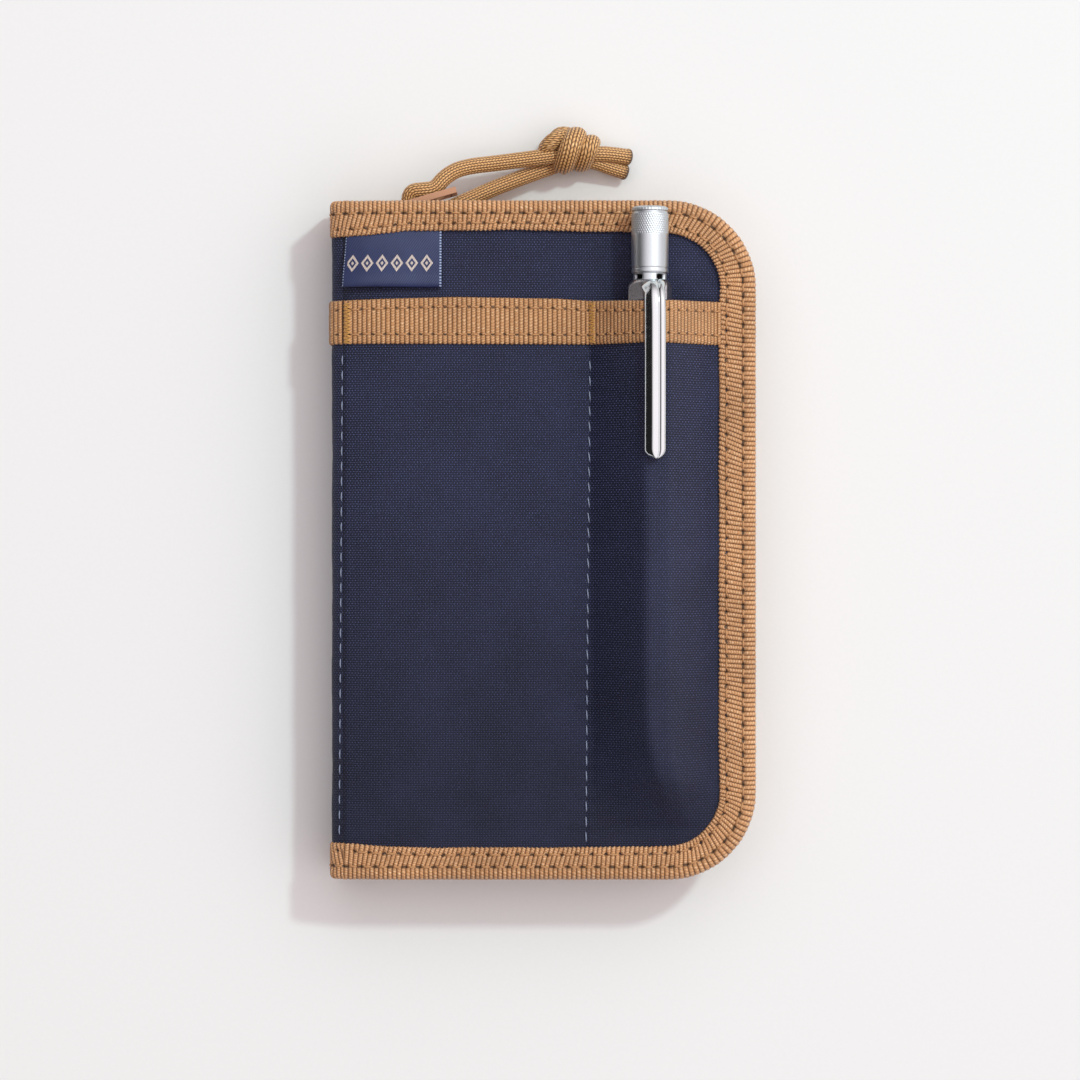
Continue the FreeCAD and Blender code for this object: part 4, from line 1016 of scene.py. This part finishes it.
def makeKnot():
    # braided tubes; a tail swells by a bell just before its end, and rounds off there by a square root
    parts, burnt = [], []
    for strand, (points, reference, radius, wide) in knotStrands.items():
        line, walked = smoothLine(points, knot["spacing"])
        left = walked[-1] - walked
        size, melt = radius * np.ones(len(walked)), 0 * walked
        if strand.startswith("tail"):
            size = size * (1 + 0.07 * np.exp(-(((left - 0.8) / 0.5) ** 2)))
            size = size * np.sqrt(1 - np.clip(1 - left / 0.7, 0, 1) ** 2 * 0.45)
            melt = np.exp(-((left / knot["burnt"]) ** 2))
        parts.append(braided(line, walked, size[:, None], reference, knot["sides"], wide))
        burnt.append(np.repeat(melt, knot["sides"]))
    values = {"burnt": np.concatenate(burnt)}
    return makePiece("cordKnot", joined(parts), tanCord, "pull", values, ["pull_knot"])


cordKnot = makeKnot()
print("label and knot made")


def metalFinish(
    name, color, roughness, grain, depth, direction=(1, 1, 1), speckle=0.0, metallic=1.0, mark="#202020"
):
    # plated, turned, drawn or powder-coated metal, and raw board: fine marks whose spacing is grain in
    # millimetres, stretched along direction, over a soft smudge of gloss; painted shade, near black, where a
    # "dark" attribute marks an opening
    material, add = newMaterial(name)
    place = add("TexCoord", out="Object")
    stretched = add("Mapping", place, Scale=direction)
    marks = add("TexNoise", stretched, Scale=1 / (grain * mm), Detail=3, Roughness=0.6)
    smudge = add("TexNoise", place, Scale=60, Detail=3)
    dark = add("Attribute", attribute_name="dark", out="Fac")
    layers = [
        (add("MapRange", marks, 0.45, 0.75, 0, speckle), mark),
        # painted shade in the openings
        (add("MapRange", dark, 0.2, 0.7), "#0c0c0d"),
    ]
    gloss = add("MapRange", marks, 0.3, 0.7, roughness - 0.04, roughness + 0.04)
    gloss = add("Math", gloss, add("MapRange", smudge, 0.3, 0.7, -0.03, 0.04), operation="ADD")
    finishMaterial(add, color, layers, (marks, depth, 0.5), {"Metallic": metallic, "Roughness": gloss})
    return material


chromeClip = metalFinish("polishedChromeClip", "#d6dcde", 0.12, 0.9, 0.002)
satinChrome = metalFinish("satinChromeKnob", "#ced5d9", 0.4, 0.25, 0.003, (1, 0.2, 1), 0.06)
brushedSteel = metalFinish("brushedSteelBarrel", "#c2c1c5", 0.3, 0.3, 0.01, (1, 0.6, 1), 0.5)
painted = {"speckle": 0.12, "metallic": 0.0}
paintedTab = metalFinish("powderCoatedZincTab", "#c2906f", 0.5, 0.22, 0.01, mark="#8d6550", **painted)
paintedSlider = metalFinish("powderCoatedZincSlider", "#b0825f", 0.5, 0.22, 0.01, mark="#79563c", **painted)
refillBrass = metalFinish("drawnBrassRefill", "#c9a45c", 0.3, 0.4, 0.004, (1, 0.1, 1), 0.1)
greyBoard = metalFinish("kraftGreyBoard", "#8f8371", 0.9, 0.8, 0.02, (1, 1, 1), 0.3, 0.0, "#5f574a")


def nodeFinish(node, material):  # a better material on a CAD node that stays
    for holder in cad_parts[node].material_slots:
        holder.material = material


nodeFinish("pull_tab", paintedTab)
nodeFinish("slider_body", paintedSlider)
nodeFinish("slider_bridge", paintedSlider)
nodeFinish("pen_refill", refillBrass)
nodeFinish("pen_nose", satinChrome)


def liningCloth(name, ground, rib, box=5.0):
    # ripstop nylon lining, woven: fine plain weave with a heavier thread every 5 mm, a slight gloss.
    # Its threads are drawn 0.5 mm apart, coarser than real ones, so that they show
    material, add = newMaterial(name)
    place, u, v = clothUv(add, 0.5, 0.5)
    raised = plainWeave(add, u, v)[0]
    lines = []
    for axis in (0, 1):
        cell = add("Math", add("SeparateXYZ", place, out=axis), 200.0, operation="ADD")
        cell = add("Math", add("Math", cell, box, operation="DIVIDE"), operation="FRACT")
        lines.append(add("Math", cell, 0.09, operation="LESS_THAN"))
    grid = add("Math", *lines, operation="MAXIMUM")
    cloudy = add("TexNoise", place, Scale=0.08, Detail=3)
    layers = [(add("MapRange", grid, 0, 1, 0, 0.7), rib), (add("MapRange", cloudy, 0.3, 0.75, 0, 0.3), rib)]
    height = add("Math", raised, grid, operation="ADD")
    finishMaterial(add, ground, layers, (height, 0.09, 0.8), {"Roughness": 0.42, "Sheen Weight": 0.1})
    return material


def nylonMonofilament(name, color, deep):
    # moulded nylon filament, coiled: smooth with a soft shine, a little deeper where it is thick
    material, add = newMaterial(name)
    mottle = add("TexNoise", add("TexCoord", out="Object"), Scale=350)
    layers = [(add("MapRange", mottle, 0.3, 0.7), deep)]
    finishMaterial(add, color, layers, (mottle, 0.01, 0.4), {"Roughness": 0.33})
    return material


tanLining = liningCloth("tanRipstopLining", "#8d6f50", "#a88a68")
navyLining = liningCloth("navyRipstopPocket", "#1c2240", "#39426a")
zipTape = ribbedWebbing("wovenZipperTape", "#a97c55", "#4f3420", "#d3a77c", rib=0.8, bead=0.55)
zipCoil = nylonMonofilament("nylonZipperCoil", "#a57a50", "#7c5836")

inside = {
    "boardThick": 1.2, "liningThick": 0.5, "foldThick": 0.4, "foldLevel": 20.6, "foldHigh": 82,
    "pocketCorner": 13.6,
    "pockets": [
        "document_pocket", "passport_pocket", "ticket_pocket", "card_pocket_upper", "card_pocket_middle",
        "card_pocket_lower",
    ],
}


def bothCovers(x, y, top, thick, material, kind, node):
    # the same sheet in the front cover and, turned over, in the back cover
    sheetPiece("front" + kind, x, y, top + 0 * x, thick, material, "front", ["front_" + node])
    top = case["top"] - top
    sheetPiece("back" + kind, x, y, top + 0 * x, thick, material, "back", ["back_" + node], -1)


def makePockets():
    # flat sheets with a product of two waves as their unevenness, and a ribbed band along each open
    # edge that rounds off by the eighth power; pockets at the foot have a round corner
    for node in inside["pockets"]:
        words = node.split("_")
        name = words[0] + "".join(word.capitalize() for word in words[1:])
        low, high = nodeBox(node)
        back = low[2] < case["middle"]
        body, down = ("back", 1) if back else ("front", -1)
        y = np.linspace(low[1], high[1], 50)
        foot = low[1] if low[1] < -70 else -math.inf
        end = cornerEnd(y, high[0], foot, math.inf, inside["pocketCorner"])
        x = low[0] + (end[:, None] - low[0]) * np.linspace(0, 1, 60)
        gridY = np.broadcast_to(y[:, None], x.shape)
        top = (high[2] if back else low[2]) + 0.025 * waver(x, 0.8, 39) * waver(gridY, 1.9, 23)
        thick = high[2] - low[2] - 0.03
        sheetPiece(name, x, gridY, top, thick, navyLining, body, [node], down)
        low, high = nodeBox(node + "_edge")
        x, gridY = np.meshgrid(np.arange(low[0], high[0], 0.3), np.linspace(low[1], high[1], 12))
        hem = 0.05 * (np.cos(2 * np.pi * x / band["rib"]) - 1)
        hem = hem - 0.2 * np.abs(np.linspace(-1, 1, 12)[:, None]) ** 8
        top = high[2] + hem if back else low[2] - hem
        thick = high[2] - low[2] - 0.25
        sheetPiece(name + "Edge", x, gridY, top, thick, tanBand, body, [node + "_edge"], down)


def makeInside():
    low, high = nodeBox("front_stiffener")
    x, y = roundedGrid(low[0] + 6, high[0], low[1], high[1], case["corner"] - 3, 24, 60)
    bothCovers(x, y, high[2], inside["boardThick"], greyBoard, "Board", "stiffener")
    low, high = nodeBox("front_liner")
    x, y = roundedGrid(case["cover"], high[0] - 1, low[1] + 1, high[1] - 1, case["corner"] - 2, 50, 90)
    top = high[2] + 0.05 * waver(x, 0.2, 31)
    bothCovers(x, y, top, inside["liningThick"], tanLining, "Lining", "liner")
    w = np.linspace(0, foldLength(fold["liningProud"]), 14)
    y = np.linspace(-inside["foldHigh"], inside["foldHigh"], 60)
    for name, upper, replaced in (("Upper", True, ["spine_liner"]), ("Lower", False, [])):
        foldSheet(
            "spineLining" + name, w, y, inside["foldLevel"], fold["liningProud"], lambda w, y: 0 * w,
            inside["foldThick"], tanLining, upper, replaced,
        )
    makePockets()


makeInside()

# tape: a foot under the binding's inner leg, and a wall that stands up to the coil, as distance from
# the edge and height; start is where each coil begins along the edge
zipper = {
    "pitch": 1.5, "wire": 0.34, "reach": 0.95, "high": 1.12, "inset": 5.9, "turn": 12, "lift": 0.14,
    "frontStart": 16.6, "backStart": 0.4,
    "tape": np.array([
        (2.2, 3.45), (4.6, 3.45), (7.0, 3.45), (7.5, 3.55), (7.6, 4.2), (7.6, 5.8), (7.6, 7.4), (7.6, 9.0),
        (7.55, 10.4), (7.05, 10.4), (7.0, 9.0), (7.0, 7.4), (7.0, 5.8), (7.0, 4.2), (6.5, 3.85), (5.6, 3.85),
        (4.6, 3.85), (2.2, 3.85),
    ]),
}


def makeTapes(begin, length):
    # the tape's section carried along the edge; it bellies by half a sine up the wall
    u = np.linspace(begin, length - begin, 420)
    outline, out = edgeWalk(u)
    section = zipper["tape"]
    belly = 0.25 * np.sin(np.pi * np.clip((section[:, 1] - 3.6) / 6.8, 0, 1))
    belly = belly * waver(u, 0.6, 29)[:, None]
    loops = outline[:, None] - (section[:, 0] + belly)[..., None] * out[:, None]
    loops[..., 2] = section[:, 1]
    along = np.r_[0, np.cumsum(np.hypot(*np.diff(section, axis=0).T)), 34]
    part = shell(loops, np.stack(np.broadcast_arrays(along[None], u[:, None]), -1))
    for side in ("front", "back"):
        node = [side + "_zipper_tape"]
        makePiece(side + "ZipTape", part, zipTape, side, None, node, side == "front")


def makeCoils(begin, length):
    # one filament wound round and round: an upright oval of cosine and sine for every pitch along the
    # edge; the front coil's turns lie between the back's
    z = zipper
    low, high = nodeBox("back_zipper_teeth")
    for side, first, shift in (("front", z["frontStart"], 0.5), ("back", begin + z["backStart"], 0.0)):
        turns = int((length - begin - first) / z["pitch"])
        t = np.arange(turns * z["turn"]) / z["turn"] + shift
        outline, out = edgeWalk(first + t * z["pitch"])
        line = outline - out * (z["inset"] + z["reach"] * np.cos(2 * np.pi * t))[:, None]
        line[:, 2] = (low[2] + high[2]) / 2 + z["lift"] + (z["high"] - z["wire"]) * np.sin(2 * np.pi * t)
        tangent = np.stack([out[:, 1], -out[:, 0], 0 * t], -1)
        part = shell(tubeLoops(line, z["wire"], 6, tangent))
        node = [side + "_zipper_teeth"]
        makePiece(side + "ZipCoil", part, zipCoil, side, None, node, side == "front")


zipBegin = nodeBox("back_zipper_tape")[0][0] - case["cover"]
makeTapes(zipBegin, edgeLength())
makeCoils(zipBegin, edgeLength())
print("inside and zipper made")

penLow, penHigh = nodeBox("pen_barrel")
knobLow, knobHigh = nodeBox("pen_knob")
gripLow, gripHigh = nodeBox("pen_grip")
clipLow, clipHigh = nodeBox("pen_clip")
collarLow, collarHigh = nodeBox("pen_collar")
# the pen lies along y; corner is the angle of one corner of its hexagon and circle its radius there,
# aside how far its axis lies beside the knob's box
pen = {
    "aside": -0.45, "corner": 105.0, "circle": 5.75, "knob": (knobHigh[0] - knobLow[0]) / 2,
    "grip": (gripHigh[0] - gripLow[0]) / 2, "gripRings": 1.3, "collar": 4.15, "window": 0.9,
}
pen["x"] = (knobLow[0] + knobHigh[0]) / 2 + pen["aside"]
pen["z"] = (knobLow[2] + knobHigh[2]) / 2
knurl = {"around": 48, "rise": 0.56, "relief": 0.13, "sink": 0.08, "scallops": 18, "sides": 264}


def turned(stations, sides, radius):
    # a body about the pen's axis: radius(y, angle) at each station y
    angle = np.arange(sides) / sides * 2 * np.pi
    y, a = np.meshgrid(stations, angle, indexing="ij")
    r = radius(y, a)
    loops = np.stack([pen["x"] + r * np.cos(a), y, pen["z"] + r * np.sin(a)], -1)
    around = np.arange(sides + 1) / sides * 2 * np.pi * 5
    return shell(loops, np.stack(np.broadcast_arrays(around[None], np.asarray(stations)[:, None]), -1))


def makeKnob():
    top, foot = knobHigh[1] - 1.0, knobLow[1] - 0.1

    def knobRadius(y, a):
        # plain cylinder; a diamond knurl, the lower of two slanting |sin| waves, between two bands;
        # flat-topped grooves, bells of the fourth power; a scalloped rim, |sin|; and a straight chamfer
        # at each end
        wave, climb = a * knurl["around"] / 2, np.pi * y / knurl["rise"] / 2
        diamond = np.minimum(np.abs(np.sin(wave + climb)), np.abs(np.sin(wave - climb)))
        here = smoothStep(y, top - 7.1, top - 6.8) * (1 - smoothStep(y, top - 1.95, top - 1.7))
        r = pen["knob"] + here * (diamond * knurl["relief"] - knurl["sink"])
        r = r - 0.22 * np.exp(-(((y - (top - 1.35)) / 0.3) ** 4))
        r = r + smoothStep(y, top - 1.0, top - 0.8) * (0.1 * np.abs(np.sin(a * knurl["scallops"])) - 0.12)
        r = r - 0.12 * np.exp(-(((y - (foot + 1.25)) / 0.22) ** 4))
        return r - np.clip(0.45 - (top - y), 0, 1) * 1.1 - np.clip(0.25 - (y - foot), 0, 1)

    stations = np.r_[
        foot, foot + 0.12, foot + 0.3, np.arange(foot + 0.6, foot + 2.2, 0.12),
        np.arange(foot + 2.6, top - 7.4, 1.2), np.arange(top - 7.2, top - 1.9, 0.085),
        np.arange(top - 1.8, top - 0.3, 0.08), top - 0.2, top - 0.1, top,
    ]
    part = turned(stations, knurl["sides"], knobRadius)
    makePiece("penKnob", part, satinChrome, "pen_knob", None, ["pen_knob"])


def makeBarrel():
    def hexRadius(y, a):
        # six flats: apothem over the cosine of the angle from the nearest flat, corners eased, both
        # ends chamfered
        flat = (np.degrees(a) - pen["corner"] + 360) % 60 - 30
        r = pen["circle"] * math.cos(math.pi / 6) / np.cos(np.radians(flat))
        r = np.minimum(r, pen["circle"] - 0.1 - 0.02 * np.cos(np.radians(flat * 6)))
        return np.minimum(r, np.minimum(4.55 + (penHigh[1] - y) * 0.75, 4.6 + (y - penLow[1]) * 0.9))

    stations = np.r_[
        penLow[1], penLow[1] + np.array([0.4, 0.9, 1.4]), np.linspace(-14, 62, 39),
        penHigh[1] - np.array([1.6, 1.2, 0.8, 0.4, 0]),
    ]
    part = turned(stations, 120, hexRadius)
    makePiece("penBarrel", part, brushedSteel, "pen", None, ["pen_barrel"])


def makeCollar():
    def window(y, a):  # four openings round the collar, bells of the sixth power both ways
        away = (np.degrees(a) + 360) % 90 - 48
        return np.exp(-((away / 17) ** 6)) * np.exp(-(((y - collarHigh[1] + 0.95) / 0.62) ** 6))

    stations = np.linspace(collarLow[1] - 0.2, collarHigh[1], 20)
    part = turned(stations, 120, lambda y, a: pen["collar"] - pen["window"] * window(y, a))
    # painted shade: the dark attribute colours the collar's openings near black
    dark = window(*np.meshgrid(stations, np.arange(120) / 120 * 2 * np.pi, indexing="ij"))
    makePiece("penCollar", part, satinChrome, "pen", {"dark": dark}, ["pen_collar"])


def makeGrip():
    def gripRadius(y, a):  # turned grip: fine rings, a raised cosine along it that fades at both ends
        fade = smoothStep(y, gripLow[1] + 1, gripLow[1] + 2)
        fade = fade * (1 - smoothStep(y, gripHigh[1] - 2, gripHigh[1] - 1))
        return pen["grip"] - 0.12 * (0.5 + 0.5 * np.cos(2 * np.pi * y / pen["gripRings"])) * fade

    part = turned(np.linspace(gripLow[1], gripHigh[1], 110), 56, gripRadius)
    makePiece("penGrip", part, satinChrome, "pen", None, ["pen_grip"])


# the clip is a sheet strip along a path from its tip up over the collar, as place along the pen and
# distance from its axis; profile is its upper face, across and up: two faces lean left and two face up,
# with a channel between
clip = {
    "wide": 2.55, "thick": 1.0, "lean": 8.0, "flare": 0.5, "tip": 2.5, "reach": clipHigh[2] - 0.55 - pen["z"],
}
clipPath = [
    (clipLow[1], clip["reach"] - 0.15), (24, clip["reach"] - 0.25), (30, clip["reach"]), (50, clip["reach"]),
    (57.5, clip["reach"] - 0.05), (61.0, clip["reach"] - 0.8), (63.0, clip["reach"] - 2.4), (64.1, 4.9),
    (64.2, 3.8),
]
clipProfile = np.array([
    (-1, -1.35), (-0.97, -1.15), (-0.8, -0.68), (-0.6, -0.15), (-0.42, 0.28), (-0.34, 0.42), (-0.24, 0.5),
    (-0.05, 0.56), (0.12, 0.54), (0.25, 0.46), (0.3, 0.36), (0.34, 0.22), (0.4, 0.34), (0.5, 0.55),
    (0.56, 0.6),
    (0.68, 0.58), (0.82, 0.48), (0.92, 0.3), (0.98, 0.08), (1, -0.15),
])


def makeClip():
    # the profile carried along the path, its half width a quarter circle at the tip, then turned about
    # the pen
    line, walked = smoothLine([(*spot, 0) for spot in clipPath], 0.35)
    y, r = line[:, 0], line[:, 1]
    along = unit(np.gradient(line, axis=0))
    tip = np.clip(walked / clip["tip"], 0.02, 1)
    half = clip["wide"] * np.sqrt(1 - (1 - tip) ** 2) + clip["flare"] * smoothStep(y, 61.6, 63.9)
    s, arch = clipProfile.T
    up = np.concatenate([arch, (arch - clip["thick"] * (1 - 0.6 * np.abs(s) ** 6))[::-1]])
    across = half[:, None] * np.concatenate([s, s[::-1] * 0.985])
    outward = r[:, None] + up * along[:, :1]
    turn = -math.radians(clip["lean"])
    x = pen["x"] + across * math.cos(turn) - outward * math.sin(turn)
    z = pen["z"] + across * math.sin(turn) + outward * math.cos(turn)
    part = shell(np.stack([x, y[:, None] - up * along[:, 1:2], z], -1))
    makePiece("penClip", part, chromeClip, "pen", None, ["pen_clip"])


makeKnob()
makeBarrel()
makeCollar()
makeGrip()
makeClip()
print("pen made")

# one lamp to the upper right, in metres, and a sky that is brighter overhead and a little to that side;
# tilt is how much the sky's height leans along x and y
studio = {
    "keyAround": 45.0, "keyUp": 50.0, "keyFar": 1.6, "keySize": 0.14, "keyPower": 8.2,
    "keyColor": (0.81, 1.0, 0.97),
    "skyTop": 1.38, "skySide": 0.02, "skyLow": 0.15, "skyHigh": 0.95, "skyTilt": (0.45, 0.25),
    "skyColor": (1.0, 0.905, 0.925, 1), "floor": "#eceeed", "floorTooth": "#e9ebea", "floorReach": 3.0,
}


def makeStudio():
    lamp = bpy.data.lights.new("key", "AREA")
    lamp.shape, lamp.size, lamp.energy = "DISK", studio["keySize"], studio["keyPower"]
    lamp.color = studio["keyColor"]
    around, up = math.radians(studio["keyAround"]), math.radians(studio["keyUp"])
    way = np.array([math.cos(around) * math.cos(up), math.sin(around) * math.cos(up), math.sin(up)])
    rig = bpy.data.objects.new("key", lamp)
    rig.location = way * studio["keyFar"]
    rig.rotation_euler = (0, math.pi / 2 - up, around)
    bpy.context.collection.objects.link(rig)
    world = bpy.data.worlds.new("studio")
    bpy.context.scene.world = world
    world.use_nodes = True
    world.node_tree.nodes.clear()
    add = partial(addNode, world.node_tree)
    way = add("TexCoord", out="Generated")
    height = add("SeparateXYZ", way, out=2)
    for axis, share in enumerate(studio["skyTilt"]):
        height = add("Math", add("SeparateXYZ", way, out=axis), share, height, operation="MULTIPLY_ADD")
    level = add("MapRange", height, studio["skyLow"], studio["skyHigh"], studio["skySide"], studio["skyTop"])
    add("OutputWorld", add("Background", {"Color": studio["skyColor"], "Strength": level}))
    bpy.context.scene.view_settings.view_transform = "Standard"


def makeFloor():
    # seamless paper sweep, pressed: matt, with a faint tooth about a millimetre wide
    material, add = newMaterial("whitePaperSweep")
    grain = add("TexNoise", add("TexCoord", out="Object"), Scale=900)
    finish = {"Roughness": 0.95, "Specular IOR Level": 0.1}
    finishMaterial(add, studio["floorTooth"], [(grain, studio["floor"])], (grain, 0.02, 0.3), finish)
    far = studio["floorReach"]
    mesh = bpy.data.meshes.new("floor")
    mesh.from_pydata([(-far, -far, 0), (far, -far, 0), (far, far, 0), (-far, far, 0)], [], [(0, 1, 2, 3)])
    mesh.materials.append(material)
    floor = bpy.data.objects.new("floor", mesh)
    bpy.context.collection.objects.link(floor)


makeStudio()
makeFloor()
